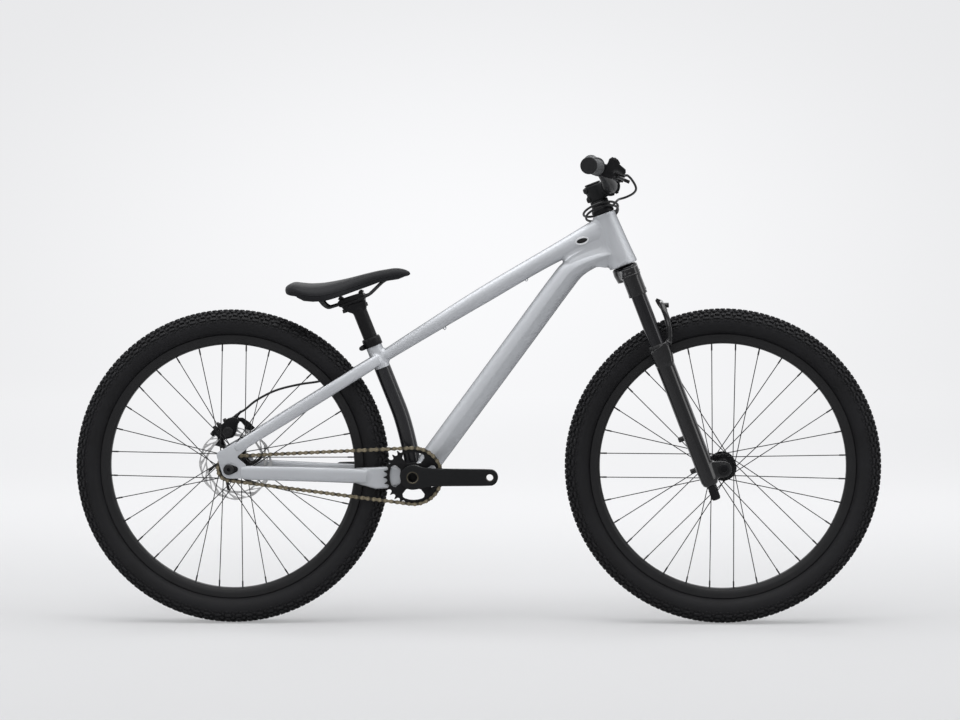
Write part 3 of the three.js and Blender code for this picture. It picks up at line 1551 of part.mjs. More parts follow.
function buildRearBrake() {
  put(bike, 'brake_caliper', 'black', caliper());
  put(bike, 'brake_pad_inner', 'steel', brakePad(-1));
  put(bike, 'brake_pad_outer', 'steel', brakePad(1));
  put(bike, 'brake_hose_rear', 'rubber', hoseTube(heldHosePath(), hoseRadius, heldHoseSteps));
  const freeHose = freeHosePath();
  put(bike, 'brake_hose_front', 'rubber', hoseTube(freeHose, hoseRadius, freeHoseSteps));
  const gap = leastGapToItself(freeHose, hoseRadius, coilRadius - coilTightening);
  console.log(`least gap of the coiled hose to itself: ${gap.toFixed(2)} mm`);
}

// Seat post and clamp, measured along the post; the saddle, measured along its rails
const railPlace = placeAt(new THREE.Vector3(railAhead, 0, railRise), -rad(railSlope));

function seatCollar() {
  const half = collarEarWidth / 2;
  const ear = discAcross(collarEarRadius, -half, half, axleSegments)
    .translate(-collarEarReach, 0, -collarHeight + collarEarRadius);
  const bridge = block(-collarEarReach, 0, -half, half, -collarHeight, -collarHeight + 2 * collarEarRadius);
  return cut(
    joined(discUpright(collarRadius, -collarHeight, collarLip + fitGap), ear, bridge),
    discUpright(seatTubeRadius + fitGap, -collarHeight - overrun, fitGap, seatTubeSides),
    discUpright(postRadius + fitGap, -overrun, overrun, seatTubeSides),
  );
}

// Rails of the saddle, from one rear socket round the nose to the other
function railPath(grow) {
  const half = railShares.map(([along, aside, up]) => new THREE.Vector3(
    along * saddleLength / 2, aside * railSpacing / 2, up * saddleHeight,
  ));
  const right = half.slice(0, -1).reverse().map((point) => point.clone().setY(-point.y));
  const points = [...half, ...right];
  const path = new THREE.CatmullRomCurve3(points, false, 'catmullrom', railTension);
  return roundTube(path, railRadius + grow, railSides, railSteps);
}

function clampBoltTool(at, grow) {
  return discUpright(clampBoltRadius + grow, -clampBoltBelow, clampBoltAbove + overrun, axleSegments)
    .translate(at, 0, 0);
}

function seatPost() {
  const post = discUpright(postRadius, -postInsertion, postExposed, seatTubeSides);
  const neckShape = outline(postNeckShares.map(([along, up]) => [along * headSize / 2, up * headHeight]));
  const neck = plate(neckShape, -headNeckWidth / 2, headNeckWidth / 2).applyMatrix4(railPlace);
  const half = railClampLength / 2;
  const cradle = block(
    clampAhead - half, clampAhead + half, -headWidth / 2, headWidth / 2, -cradleThickness, -fitGap,
  ).applyMatrix4(railPlace);
  const tools = [railPath(fitGap).applyMatrix4(railPlace)];
  for (const at of clampBoltPlaces) {
    tools.push(clampBoltTool(at, fitGap).applyMatrix4(railPlace));
    tools.push(discUpright(
      clampBoltHeadRadius + fitGap, -clampBoltBelow - overrun,
      -clampBoltBelow + clampBoltHeadHeight + fitGap, axleSegments,
    ).translate(at, 0, 0).applyMatrix4(railPlace));
  }
  return cut(joined(post, neck, cradle), ...tools);
}

function clampPlate() {
  const half = railClampLength / 2;
  const plateBody = solid(block(
    clampAhead - half, clampAhead + half, -headWidth / 2, headWidth / 2, fitGap, clampPlateHeight,
  ));
  return cut(plateBody, railPath(fitGap), ...clampBoltPlaces.map((at) => clampBoltTool(at, fitGap)));
}

function clampBolt(at) {
  const headTopAt = -clampBoltBelow + clampBoltHeadHeight;
  const nutTopAt = clampPlateHeight + clampNutHeight;
  return joined(
    discUpright(clampBoltRadius, -clampBoltBelow, clampBoltAbove, axleSegments),
    discUpright(clampBoltHeadRadius, -clampBoltBelow, headTopAt, axleSegments),
    discUpright(clampBoltHeadRadius, clampPlateHeight + fitGap, nutTopAt, axleSegments),
  ).translate([at, 0, 0]);
}

// The saddle's cushion: a crowned section that narrows to the nose, flat underneath
function saddlePad() {
  const rings = saddleShares.map(([run, top, skirt, half, lift]) => {
    const along = (run - 0.5) * saddleLength;
    const low = skirt * saddleHeight + lift * (saddleBaseThickness + fitGap);
    const high = top * saddleHeight;
    const ring = [];
    for (let side = 0; side <= saddleSides; side++) {
      const angle = Math.PI * side / saddleSides;
      ring.push(new THREE.Vector3(
        along,
        half * saddleWidth * powered(Math.cos(angle), saddleSideSquareness),
        low + (high - low) * Math.sin(angle) ** saddleCrownPower,
      ));
    }
    return ring;
  });
  return loft(rings);
}

function saddleBase() {
  const rings = saddleShares.filter((share) => share[4] === 1).map(([run, , skirt, half]) => {
    const along = (run - 0.5) * saddleLength;
    const low = skirt * saddleHeight;
    const wide = half * saddleWidth * saddleBaseShare;
    return [
      new THREE.Vector3(along, wide * saddleBaseShare, low),
      new THREE.Vector3(along, wide, low + saddleBaseThickness),
      new THREE.Vector3(along, -wide, low + saddleBaseThickness),
      new THREE.Vector3(along, -wide * saddleBaseShare, low),
    ];
  });
  return loft(rings);
}

function buildSeat() {
  const group = groupAt(bike, seatTop, seatTilt);
  put(group, 'seat_collar', 'black', seatCollar());
  put(group, 'seat_post', 'black', seatPost());
  const rails = groupAt(group, new THREE.Vector3(railAhead, 0, railRise), -rad(railSlope));
  put(rails, 'saddle_rails', 'black', railPath(0));
  put(rails, 'saddle_rail_clamp', 'black', clampPlate());
  put(rails, 'saddle_clamp_bolt_rear', 'black', clampBolt(clampBoltPlaces[0]));
  put(rails, 'saddle_clamp_bolt_front', 'black', clampBolt(clampBoltPlaces[1]));
  put(rails, 'saddle_base', 'black', saddleBase());
  put(rails, 'saddle_pad', 'rubber', saddlePad());
}

buildFrame();
buildDrive();
buildRearWheel();
buildFrontWheel();
buildSteering();
buildRearBrake();
buildSeat();

export default bike;
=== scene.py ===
"""Dresses the packed dirt jump bike with its full shapes and materials, and sets floor, lights and camera.

Shapes are written in millimetres in the bike's own frame (+X forward, +Y to the rider's left, +Z up)
and become metres when they are made into a mesh.
"""

import math

import bmesh
import bpy
import numpy as np
from mathutils import Matrix, Vector
from mathutils.bvhtree import BVHTree
from mathutils.geometry import tessellate_polygon


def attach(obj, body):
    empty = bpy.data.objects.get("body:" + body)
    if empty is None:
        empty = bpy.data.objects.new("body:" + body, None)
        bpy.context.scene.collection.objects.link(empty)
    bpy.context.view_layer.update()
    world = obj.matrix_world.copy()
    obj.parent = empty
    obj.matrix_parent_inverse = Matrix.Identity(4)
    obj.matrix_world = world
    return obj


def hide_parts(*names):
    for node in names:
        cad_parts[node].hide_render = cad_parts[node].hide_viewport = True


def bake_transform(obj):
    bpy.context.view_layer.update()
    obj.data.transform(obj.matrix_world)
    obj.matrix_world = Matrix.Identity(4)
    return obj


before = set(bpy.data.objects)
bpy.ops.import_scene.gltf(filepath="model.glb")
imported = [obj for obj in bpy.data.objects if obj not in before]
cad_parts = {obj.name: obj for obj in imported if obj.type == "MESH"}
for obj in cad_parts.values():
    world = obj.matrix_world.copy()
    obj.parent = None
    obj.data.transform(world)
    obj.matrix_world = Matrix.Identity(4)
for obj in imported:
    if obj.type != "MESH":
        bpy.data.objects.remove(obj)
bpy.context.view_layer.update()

MM = 0.001
TURN = 2 * math.pi
ACROSS = Vector((0, 1, 0))
FORWARD = Vector((1, 0, 0))

# ---------------------------------------------------------------- places on the bike, as in the CAD source
REAR_AXLE = Vector((-529.3, 0, 340))
FRONT_AXLE = Vector((529.3, 0, 340))
BRACKET = Vector((-134.264, 0, 323.5))
HEAD_TOP = Vector((274.366, 0, 884.266))
SEAT_TOP = Vector((-227.9, 0, 616.7))
HEAD_TILT = math.radians(20.9)
SEAT_TILT = math.radians(21.5)


def place_at(point, tilt):
    return Matrix.Translation(point) @ Matrix.Rotation(-tilt, 4, "Y")


STEERING = place_at(HEAD_TOP, HEAD_TILT)
SEAT = place_at(SEAT_TOP, SEAT_TILT)
RAILS = SEAT @ place_at(Vector((-2.5, 0, 91.4)), -math.radians(3.6))
HEAD_LENGTH = 119.4


def below(drop):
    """A height on the steering axis, under the lower end of the head tube."""
    return -HEAD_LENGTH - drop


def seat_axis(drop):
    return SEAT @ Vector((0, 0, -drop))


def head_axis(drop):
    return STEERING @ Vector((0, 0, -drop))


# ---------------------------------------------------------------- camera
CAMERA_PLACE = Vector((286.35, -6877.35, 1048.55))
CAMERA_RIGHT = Vector((0.99919, 0.04019, -0.00429))
CAMERA_AHEAD = Vector((-0.04039, 0.99677, -0.06944))
CAMERA_LENS = 120.12


def make_camera():
    data = bpy.data.cameras.new("camera")
    camera = bpy.data.objects.new("camera", data)
    bpy.context.scene.collection.objects.link(camera)
    ahead = CAMERA_AHEAD.normalized()
    up = CAMERA_RIGHT.normalized().cross(ahead).normalized()
    turn = Matrix((ahead.cross(up), up, -ahead)).transposed().to_4x4()
    camera.matrix_world = Matrix.Translation(CAMERA_PLACE * MM) @ turn
    data.sensor_width, data.lens = 36, CAMERA_LENS
    data.clip_start, data.clip_end = 0.1, 100
    bpy.context.scene.camera = camera


make_camera()


# ---------------------------------------------------------------- materials
def shading(tree, kind, inputs=(), output=0, **settings):
    """Adds a shader node, sets or links its inputs, and gives one of its outputs."""
    node = tree.nodes.new("ShaderNode" + kind)
    for key, value in settings.items():
        setattr(node, key, value)
    for key, value in dict(inputs).items():
        if isinstance(value, bpy.types.NodeSocket):
            tree.links.new(value, node.inputs[key])
        else:
            node.inputs[key].default_value = value
    return None if output is None else node.outputs[output]


def smooth_step(tree, value, start, end, low, high):
    return shading(tree, "MapRange", {"Value": value, "From Min": start, "From Max": end, "To Min": low,
        "To Max": high}, interpolation_type="SMOOTHSTEP")


def material(name, colour, metallic=0.0, roughness=0.5, vary=0.0, vary_scale=30.0, rough_vary=0.0, grain=0.0,
        grain_scale=900.0, pebbled=False, coat=0.0, coat_roughness=0.08, specular=0.5, stretch=(1, 1, 1),
        painted_edge_shade=1.0):
    """A Principled material whose colour, roughness and relief vary with noise on the object.

    Where the surface turns away from the eye its colour and specular tint are multiplied by the edge factor:
    painted shade that darkens the edges.
    """
    made = bpy.data.materials.new(name)
    made.use_nodes = True
    tree = made.node_tree
    where = shading(tree, "TexCoord", output="Object")
    scaled = shading(tree, "Mapping", {"Vector": where, "Scale": stretch})
    broad = shading(tree, "TexNoise", {"Vector": scaled, "Scale": vary_scale, "Detail": 5}, "Fac")
    tint = shading(tree, "ValToRGB", {"Fac": broad}, "Color")
    for stop, place, factor in zip(tint.node.color_ramp.elements, (0.3, 0.7), (1 - vary, 1 + vary)):
        stop.color = (*[min(1, c * factor) for c in colour], 1)
        stop.position = place
    inputs = {"Metallic": metallic, "Coat Weight": coat, "Coat Roughness": coat_roughness,
        "Specular IOR Level": specular, "Base Color": tint}
    # Painted shade: colour and specular tint are darkened where the surface turns away from the eye.
    if painted_edge_shade < 1:
        facing = shading(tree, "LayerWeight", {"Blend": 0.5}, "Facing")
        share = smooth_step(tree, facing, 0.35, 1, 1, painted_edge_shade)
        inputs["Specular Tint"] = (painted_edge_shade, painted_edge_shade, painted_edge_shade, 1)
        inputs["Base Color"] = shading(tree, "VectorMath", {0: tint, "Scale": share}, operation="SCALE")
    inputs["Roughness"] = shading(tree, "MapRange", {"Value": broad, "To Min": roughness - rough_vary,
        "To Max": roughness + rough_vary})
    if grain and pebbled:
        height = shading(tree, "TexVoronoi", {"Vector": scaled, "Scale": grain_scale}, "Distance")
    elif grain:
        height = shading(tree, "TexNoise", {"Vector": scaled, "Scale": grain_scale, "Detail": 3}, "Fac")
    if grain:
        inputs["Normal"] = shading(tree, "Bump", {"Height": height, "Strength": grain, "Distance": 0.0004})
    shader = tree.nodes["Principled BSDF"]
    for key, value in inputs.items():
        if isinstance(value, bpy.types.NodeSocket):
            tree.links.new(value, shader.inputs[key])
        else:
            shader.inputs[key].default_value = value
    return made


# The silver paint's edges carry painted shade, darker where the tubes turn away from the eye.
SILVER_PAINT = material("silver_paint", (0.50, 0.515, 0.54), 0.5, 0.5, vary=0.02, vary_scale=12,
    rough_vary=0.03, specular=0.3, painted_edge_shade=0.4)
BARE_SILVER = material("bare_silver", (0.72, 0.73, 0.75), 0.4, 0.35, vary=0.03, rough_vary=0.04, grain=0.05,
    grain_scale=2000)
BLACK_GLOSS_PAINT = material("black_gloss_paint", (0.006, 0.006, 0.008), 0.0, 0.34, vary=0.1,
    rough_vary=0.03, grain=0.01, grain_scale=2600, coat=0.3, coat_roughness=0.14, specular=0.3)
FORK_GLOSS = material("fork_gloss", (0.004, 0.004, 0.005), 0.0, 0.24, vary=0.1, rough_vary=0.03, grain=0.005,
    grain_scale=1800, coat=0.3, coat_roughness=0.06, specular=0.28)
STANCHION_BLACK = material("stanchion_black", (0.010, 0.010, 0.012), 0.4, 0.16, vary=0.12, rough_vary=0.03,
    grain=0.005, grain_scale=3000, stretch=(1, 1, 0.2), specular=0.4)
ANODISED = material("black_anodised", (0.006, 0.006, 0.007), 0.2, 0.44, vary=0.12, rough_vary=0.05,
    grain=0.04, grain_scale=1900, specular=0.2)
FORGED = material("black_forged", (0.008, 0.0084, 0.0092), 0.1, 0.46, vary=0.1, rough_vary=0.05, grain=0.06,
    grain_scale=1400, specular=0.18)
RIM_BLACK = material("rim_black", (0.009, 0.009, 0.010), 0.15, 0.40, vary=0.12, rough_vary=0.06, grain=0.03,
    grain_scale=1500, specular=0.3)
SPOKE_BLACK = material("spoke_black", (0.010, 0.010, 0.011), 0.2, 0.38, vary=0.1, rough_vary=0.04,
    specular=0.3)
RUBBER = material("tyre_rubber", (0.0095, 0.0095, 0.0108), 0.0, 0.66, vary=0.22, vary_scale=18,
    rough_vary=0.08, grain=0.2, grain_scale=700, specular=0.2)
GRIP_RUBBER = material("grip_rubber", (0.068, 0.070, 0.073), 0.0, 0.66, vary=0.12, rough_vary=0.08,
    grain=0.2, grain_scale=1300, specular=0.35)
BLACK_PLASTIC = material("black_plastic", (0.008, 0.008, 0.009), 0.0, 0.5, vary=0.12, rough_vary=0.06,
    grain=0.12, grain_scale=1500, pebbled=True, specular=0.25)
HOSE_JACKET = material("hose_jacket", (0.007, 0.007, 0.008), 0.0, 0.34, vary=0.15, rough_vary=0.06,
    grain=0.03, grain_scale=1200, specular=0.35)
SADDLE_COVER = material("saddle_cover", (0.0085, 0.0088, 0.0103), 0.0, 0.54, vary=0.14, rough_vary=0.06,
    grain=0.2, grain_scale=620, pebbled=True, specular=0.14)
STEEL = material("steel", (0.52, 0.52, 0.53), 1.0, 0.30, vary=0.08, vary_scale=60, rough_vary=0.07,
    grain=0.12, grain_scale=1500)
ROTOR_STEEL = material("rotor_steel", (0.60, 0.60, 0.60), 0.9, 0.36, vary=0.07, vary_scale=70,
    rough_vary=0.07, grain=0.2, grain_scale=1800)
CHAIN_BRONZE = material("chain_bronze", (0.20, 0.172, 0.118), 0.85, 0.40, vary=0.3, vary_scale=90,
    rough_vary=0.1, grain=0.12, grain_scale=1200)
CHAIN_DARK = material("chain_inner", (0.075, 0.066, 0.048), 0.85, 0.42, vary=0.3, vary_scale=90,
    rough_vary=0.1, grain=0.12, grain_scale=1200)
CHAIN_STEEL = material("chain_pin", (0.30, 0.26, 0.19), 0.9, 0.32, vary=0.15, vary_scale=90, rough_vary=0.08)
DARK_STEEL = material("dark_steel", (0.030, 0.030, 0.031), 0.7, 0.36, vary=0.15, vary_scale=60,
    rough_vary=0.07, grain=0.1, grain_scale=1500)
PAD_BACKING = material("pad_backing", (0.22, 0.17, 0.10), 0.7, 0.5, vary=0.2, vary_scale=80, rough_vary=0.1)


# ---------------------------------------------------------------- building shapes
class Form:
    """Points in millimetres and faces, gathered from several parts into one mesh."""

    def __init__(self, *parts):
        self.points, self.faces = [], []
        for part in parts:
            self.add(part)

    def add(self, part, place=None):
        points, faces = part if place is None else moved(part, place)
        start = len(self.points)
        self.points += [Vector(p) for p in points]
        self.faces += [[start + i for i in face] for face in faces]
        return self


def band(a, b):
    """Faces between two rings of point numbers, either of which may be a single point."""
    if len(a) == 1 and len(b) == 1:
        return []
    if len(a) == 1:
        return [[a[0], b[i], b[(i + 1) % len(b)]] for i in range(len(b))]
    if len(b) == 1:
        return [[a[i], b[0], a[(i + 1) % len(a)]] for i in range(len(a))]
    count = len(a)
    return [[a[i], b[i], b[(i + 1) % count], a[(i + 1) % count]] for i in range(count)]


def skin_of(rings):
    """Faces along a row of rings, with a cap on each end."""
    return [face for a, b in zip(rings, rings[1:]) for face in band(a, b)] + [rings[0][::-1], rings[-1]]


def polar(radius, angle):
    return radius * math.cos(angle), radius * math.sin(angle)


def around(radius, angle, across=0):
    x, z = polar(radius, angle)
    return Vector((x, across, z))


def moved(part, place):
    """A part's points and faces at a place, which is a matrix or a point."""
    points, faces = part
    place = place if isinstance(place, Matrix) else Matrix.Translation(place)
    return [place @ Vector(p) for p in points], faces


def spun(profile, steps=64, side=1):
    """Radius and place along Y, turned about the Y axis. A profile that starts off the axis is closed.

    With side -1 the places along Y are mirrored.
    """
    points, rings, faces = [], [], []
    for radius, across in profile:
        ring = []
        count = 1 if radius < 1e-6 else steps
        for step in range(count):
            angle = TURN * step / steps
            ring.append(len(points))
            points.append((radius * math.cos(angle), side * across, radius * math.sin(angle)))
        rings.append(ring)
    for a, b in zip(rings, rings[1:]):
        faces += band(a, b)
    if profile[0][0] > 0:
        faces += band(rings[-1], rings[0])
    return points, faces


def onto(start, end):
    """The place that lays the Y axis along the line from start to end."""
    return Matrix.Translation(start) @ ACROSS.rotation_difference(end - start).to_matrix().to_4x4()


UPRIGHT = Matrix.Rotation(math.pi / 2, 4, "X")
SIDES = (("left", 1), ("right", -1))


def turned(profile, start, end, steps=32, place=Matrix()):
    """A spun profile, whose places along it count from start towards end."""
    return moved(spun(profile, steps), onto(place @ Vector(start), place @ Vector(end)))


def rod(radius, start, end, steps=16, edge=0.0, place=Matrix()):
    start, end = place @ Vector(start), place @ Vector(end)
    length = (end - start).length
    if edge:
        profile = [(0, 0), (radius - edge, 0), (radius, edge), (radius, length - edge),
            (radius - edge, length), (0, length)]
    else:
        profile = [(0, 0), (radius, 0), (radius, length), (0, length)]
    return turned(profile, start, end, steps)


def slab(outline, low, high, holes=(), side=1):
    """An outline in X and Z with holes, and its thickness along Y, mirrored with side -1."""
    low, high = sorted((side * low, side * high))
    loops = [list(outline), *[list(hole) for hole in holes]]
    flat = [point for loop in loops for point in loop]
    count = len(flat)
    caps = tessellate_polygon([[Vector((x, z, 0)) for x, z in loop] for loop in loops])
    points = [(x, low, z) for x, z in flat] + [(x, high, z) for x, z in flat]
    faces = [list(face) for face in caps] + [[i + count for i in face] for face in caps]
    start = 0
    for loop in loops:
        for i in range(len(loop)):
            a, b = start + i, start + (i + 1) % len(loop)
            faces.append([a, b, b + count, a + count])
        start += len(loop)
    return points, faces


def box(low, high):
    (x0, y0, z0), (x1, y1, z1) = low, high
    return slab([(x0, z0), (x1, z0), (x1, z1), (x0, z1)], y0, y1)


def arc(x, z, radius, start, end, steps):
    return [(x + radius * math.cos(a), z + radius * math.sin(a)) for a in np.linspace(start, end, steps)]


def circle(radius, x=0, z=0, steps=48):
    return arc(x, z, radius, 0, TURN, steps + 1)[:-1]


def link_outline(x0, z0, r0, x1, z1, r1, steps=14):
    """Two round ends joined by straight sides."""
    run = math.hypot(x1 - x0, z1 - z0)
    heading = math.atan2(z1 - z0, x1 - x0)
    side = math.acos((r0 - r1) / run)
    return (arc(x0, z0, r0, heading + side, heading - side + TURN, steps)
        + arc(x1, z1, r1, heading - side, heading + side, steps))


def smooth_rows(rows, count):
    """Rows of numbers, smoothed and evened out along their first three, with count rows."""
    rows = np.array([[float(v) for v in row] for row in rows])
    gaps = np.linalg.norm(np.diff(rows[:, :3], axis=0), axis=1) ** 0.5
    knots = np.concatenate([[0], np.cumsum(np.maximum(gaps, 1e-6))])
    slopes = np.zeros_like(rows)
    for i in range(len(rows)):
        if i == 0:
            slopes[i] = (rows[1] - rows[0]) / (knots[1] - knots[0])
        elif i == len(rows) - 1:
            slopes[i] = (rows[i] - rows[i - 1]) / (knots[i] - knots[i - 1])
        else:
            before, after = knots[i] - knots[i - 1], knots[i + 1] - knots[i]
            slopes[i] = ((rows[i] - rows[i - 1]) / before * after
                + (rows[i + 1] - rows[i]) / after * before) / (before + after)

    def sample(at):
        spot = np.clip(np.searchsorted(knots, at, side="right") - 1, 0, len(knots) - 2)
        width = (knots[spot + 1] - knots[spot])[:, None]
        share = ((at - knots[spot]) / width[:, 0])[:, None]
        two, three = share ** 2, share ** 3
        return ((2 * three - 3 * two + 1) * rows[spot] + (three - 2 * two + share) * width * slopes[spot]
            + (3 * two - 2 * three) * rows[spot + 1] + (three - two) * width * slopes[spot + 1])

    guesses = np.linspace(knots[0], knots[-1], count * 12)
    fine = sample(guesses)
    along = np.concatenate([[0], np.cumsum(np.linalg.norm(np.diff(fine[:, :3], axis=0), axis=1))])
    return sample(np.interp(np.linspace(0, along[-1], count), along, guesses))


def powered(value, squareness):
    return math.copysign(abs(value) ** (2 / squareness), value)


def tube(rows, sides=32, width_axis=ACROSS, squareness=2.0, ridge=0.0):
    """A tube through rows of x, y, z, width and height; ridge creases its sides at half height."""
    rows = [[float(v) for v in row] for row in rows]
    places = [Vector(row[:3]) for row in rows]
    points, rings = [], []
    for i, row in enumerate(rows):
        along = (places[min(i + 1, len(rows) - 1)] - places[max(i - 1, 0)]).normalized()
        across = (width_axis - along * width_axis.dot(along)).normalized()
        up = along.cross(across)
        rings.append(list(range(len(points), len(points) + sides)))
        for side in range(sides):
            angle = TURN * side / sides
            wide, high = powered(math.cos(angle), squareness), powered(math.sin(angle), squareness)
            wide *= 1 - ridge * abs(high)
            points.append(places[i] + across * (wide * row[3] / 2) + up * (high * row[4] / 2))
    return points, skin_of(rings)


def wire(points, radius, sides=16, count=None):
    """A round tube along smoothed points, free of twist."""
    path = [Vector(p) for p in smooth_rows(points, count or 6 * len(points))]
    side, rings, made = None, [], []
    for i, point in enumerate(path):
        along = (path[min(i + 1, len(path) - 1)] - path[max(i - 1, 0)]).normalized()
        side = (side - along * side.dot(along) if side else along.orthogonal()).normalized()
        other = along.cross(side)
        rings.append(list(range(len(made), len(made) + sides)))
        made += [point + side * (radius * math.cos(TURN * s / sides))
            + other * (radius * math.sin(TURN * s / sides)) for s in range(sides)]
    return made, skin_of(rings)


def as_mesh(name, form, bevel=0.0, bevel_steps=2, sharp=38, bevel_angle=32):
    form = form if isinstance(form, Form) else Form(form)
    mesh = bpy.data.meshes.new(name)
    mesh.from_pydata([p * MM for p in map(Vector, form.points)], [], form.faces)
    work = bmesh.new()
    work.from_mesh(mesh)
    bmesh.ops.remove_doubles(work, verts=work.verts, dist=1e-6)
    bmesh.ops.recalc_face_normals(work, faces=work.faces)
    if bevel:
        bmesh.ops.dissolve_limit(work, angle_limit=math.radians(1), verts=work.verts, edges=work.edges)
        edges = [e for e in work.edges if len(e.link_faces) == 2
            and e.calc_face_angle(0) > math.radians(bevel_angle)]
        bmesh.ops.bevel(work, geom=edges, offset=bevel * MM, segments=bevel_steps, profile=0.5,
            affect="EDGES", clamp_overlap=True)
        bmesh.ops.triangulate(work, faces=[f for f in work.faces if len(f.verts) > 4])
    work.to_mesh(mesh)
    work.free()
    settle(mesh, sharp)
    return mesh


def settle(mesh, sharp):
    mesh.polygons.foreach_set("use_smooth", [True] * len(mesh.polygons))
    mesh.set_sharp_from_angle(angle=math.radians(sharp))
    mesh.update()


def show(mesh, name, body, skin, replaces=()):
    made = bpy.data.objects.new(name, mesh)
    bpy.context.scene.collection.objects.link(made)
    mesh.materials.clear()
    mesh.materials.append(skin)
    if body:
        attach(made, body)
    if replaces:
        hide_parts(*replaces)
    return made


def piece(name, form, body, skin, replaces=(), bevel=0.0, bevel_steps=2, sharp=None, bevel_angle=32):
    sharp = sharp or (38 if bevel else 35)
    return show(as_mesh(name, form, bevel, bevel_steps, sharp, bevel_angle), name, body, skin, replaces)


def with_modifier(mesh, kind, **settings):
    """The mesh after one modifier, as a new mesh."""
    holder = bpy.data.objects.new("holder", mesh)
    bpy.context.scene.collection.objects.link(holder)
    modifier = holder.modifiers.new("step", kind)
    for key, value in settings.items():
        setattr(modifier, key, value)
    graph = bpy.context.evaluated_depsgraph_get()
    made = bpy.data.meshes.new_from_object(holder.evaluated_get(graph))
    bpy.data.objects.remove(holder)
    return made


def carve(mesh, *forms):
    """The mesh with the forms cut out of it, one after the other."""
    for form in forms:
        tool = bpy.data.objects.new("tool", as_mesh("tool", form))
        bpy.context.scene.collection.objects.link(tool)
        mesh = with_modifier(mesh, "BOOLEAN", object=tool, operation="DIFFERENCE", solver="MANIFOLD")
        bpy.data.objects.remove(tool)
    return mesh


def melted(name, forms, voxel, rounds, soften=2, even=8, true_within=0.0):
    """Solids fused into one skin, their inner corners filled like welds or a casting's fillets.

    Skin that lies within true_within mm of a solid is laid back on it, which takes the voxels' ripple off.
    """
    whole = Form()
    for form in forms:
        mesh = form if isinstance(form, bpy.types.Mesh) else as_mesh(name, form)
        start = len(whole.points)
        whole.points += [v.co / MM for v in mesh.vertices]
        whole.faces += [[start + i for i in p.vertices] for p in mesh.polygons]
    mesh = bpy.data.meshes.new(name)
    mesh.from_pydata([p * MM for p in map(Vector, whole.points)], [], whole.faces)
    mesh = with_modifier(mesh, "REMESH", mode="VOXEL", voxel_size=voxel * MM)
    count = len(mesh.vertices)
    spots = np.empty(count * 3)
    mesh.vertices.foreach_get("co", spots)
    spots = spots.reshape(-1, 3)
    edges = np.empty(len(mesh.edges) * 2, int)
    mesh.edges.foreach_get("vertices", edges)
    a, b = edges.reshape(-1, 2).T
    degree = np.bincount(np.concatenate([a, b]), minlength=count)[:, None]

    def pull():
        total = np.stack([np.bincount(a, spots[b, k], count) + np.bincount(b, spots[a, k], count)
            for k in range(3)], 1)
        return total / degree - spots

    for _ in range(soften):
        spots += 0.5 * pull()
        spots -= 0.52 * pull()
    for turn in range(rounds):
        if turn % 8 == 0:
            mesh.vertices.foreach_set("co", spots.ravel())
            mesh.update()
            normals = np.empty(count * 3)
            mesh.vertices.foreach_get("normal", normals)
            normals = normals.reshape(-1, 3)
        step = pull()
        hollow = np.clip((step * normals).sum(1) / (0.012 * voxel * MM), 0, 1)
        spots += 0.8 * hollow[:, None] * step
    for _ in range(even):
        spots += 0.5 * pull()
        spots -= 0.505 * pull()
    if true_within:
        solids = BVHTree.FromPolygons(whole.points, whole.faces)
        for i, spot in enumerate(spots):
            nearest, _, _, gap = solids.find_nearest(Vector(spot / MM))
            weight = min(1, max(0, (true_within - gap) / (true_within * 0.6)))
            spots[i] += (np.array(nearest) * MM - spot) * weight
        for _ in range(3):
            spots += 0.5 * pull()
            spots -= 0.505 * pull()
    mesh.vertices.foreach_set("co", spots.ravel())
    mesh.update()
    settle(mesh, 60)
    return mesh


# ---------------------------------------------------------------- brake hose: the free stretch, a cord
BAR_ROWS = [(0, 0, 0, 0), (0.09, 0, 0, 0), (0.18, 0.07, 0.02, 0.25), (0.3, 0.34, 0.1, 0.75),
    (0.42, 0.6, 0.22, 1), (0.55, 0.77, 0.38, 1), (0.65, 0.84, 0.5, 1), (1, 1, 1, 1)]
BAR_HALF, BAR_RISE, BAR_SWEEP = 379, 59.7, 23.8
STEM_REACH, STEM_RISE = 34, 49.5
BRAKE_AT = 214


def bar_point(across):
    reach = abs(across) / BAR_HALF
    reaches = [row[0] for row in BAR_ROWS]
    rise = np.interp(reach, reaches, [row[1] for row in BAR_ROWS])
    sweep = np.interp(reach, reaches, [row[2] for row in BAR_ROWS])
    return Vector((STEM_REACH - sweep * BAR_SWEEP, across, STEM_RISE + rise * BAR_RISE))


BRAKE = STEERING @ place_at(bar_point(-BRAKE_AT), -math.radians(44))
HOSE_RADIUS = 2.5


def free_hose_points():
    start, end = Vector((42, 41, 0)), Vector((59, 59, 8))
    ahead = (end - start).normalized()
    first = end + ahead * 0.5
    points = [BRAKE @ first, BRAKE @ (first + ahead * 5)]
    points += [Vector(p) for p in ((345.3, -128, 941.7), (340.7, -100, 930.9), (329.3, -68, 922.8),
        (312.5, -28, 915.7))]
    turns, steps, tilt = 2.23, 24, math.radians(26)
    for step in range(steps + 1):
        share = step / steps
        angle = 0.35 + share * turns * TURN
        radius = 43 - share * 5
        side = radius * math.sin(angle)
        lift = 11 * max(0, 1 - share * turns / 0.6)
        points.append(STEERING @ Vector((-3 + radius * math.cos(angle), side * math.cos(tilt),
            12 + lift - side * math.sin(tilt) - share * turns * 6.6)))
    points += [Vector((246, 33.5, 849.5)), Vector((230.6, 27, 835))]
    return points


def eased(path, rounds, held):
    """The path with its kinks worn down; its ends keep their place and heading."""
    path = np.array(path)
    for _ in range(rounds):
        path[held:-held] = (path[held - 1:-held - 1] + path[held:-held] * 2
            + path[held + 1:len(path) - held + 1]) / 4
    return path.tolist()


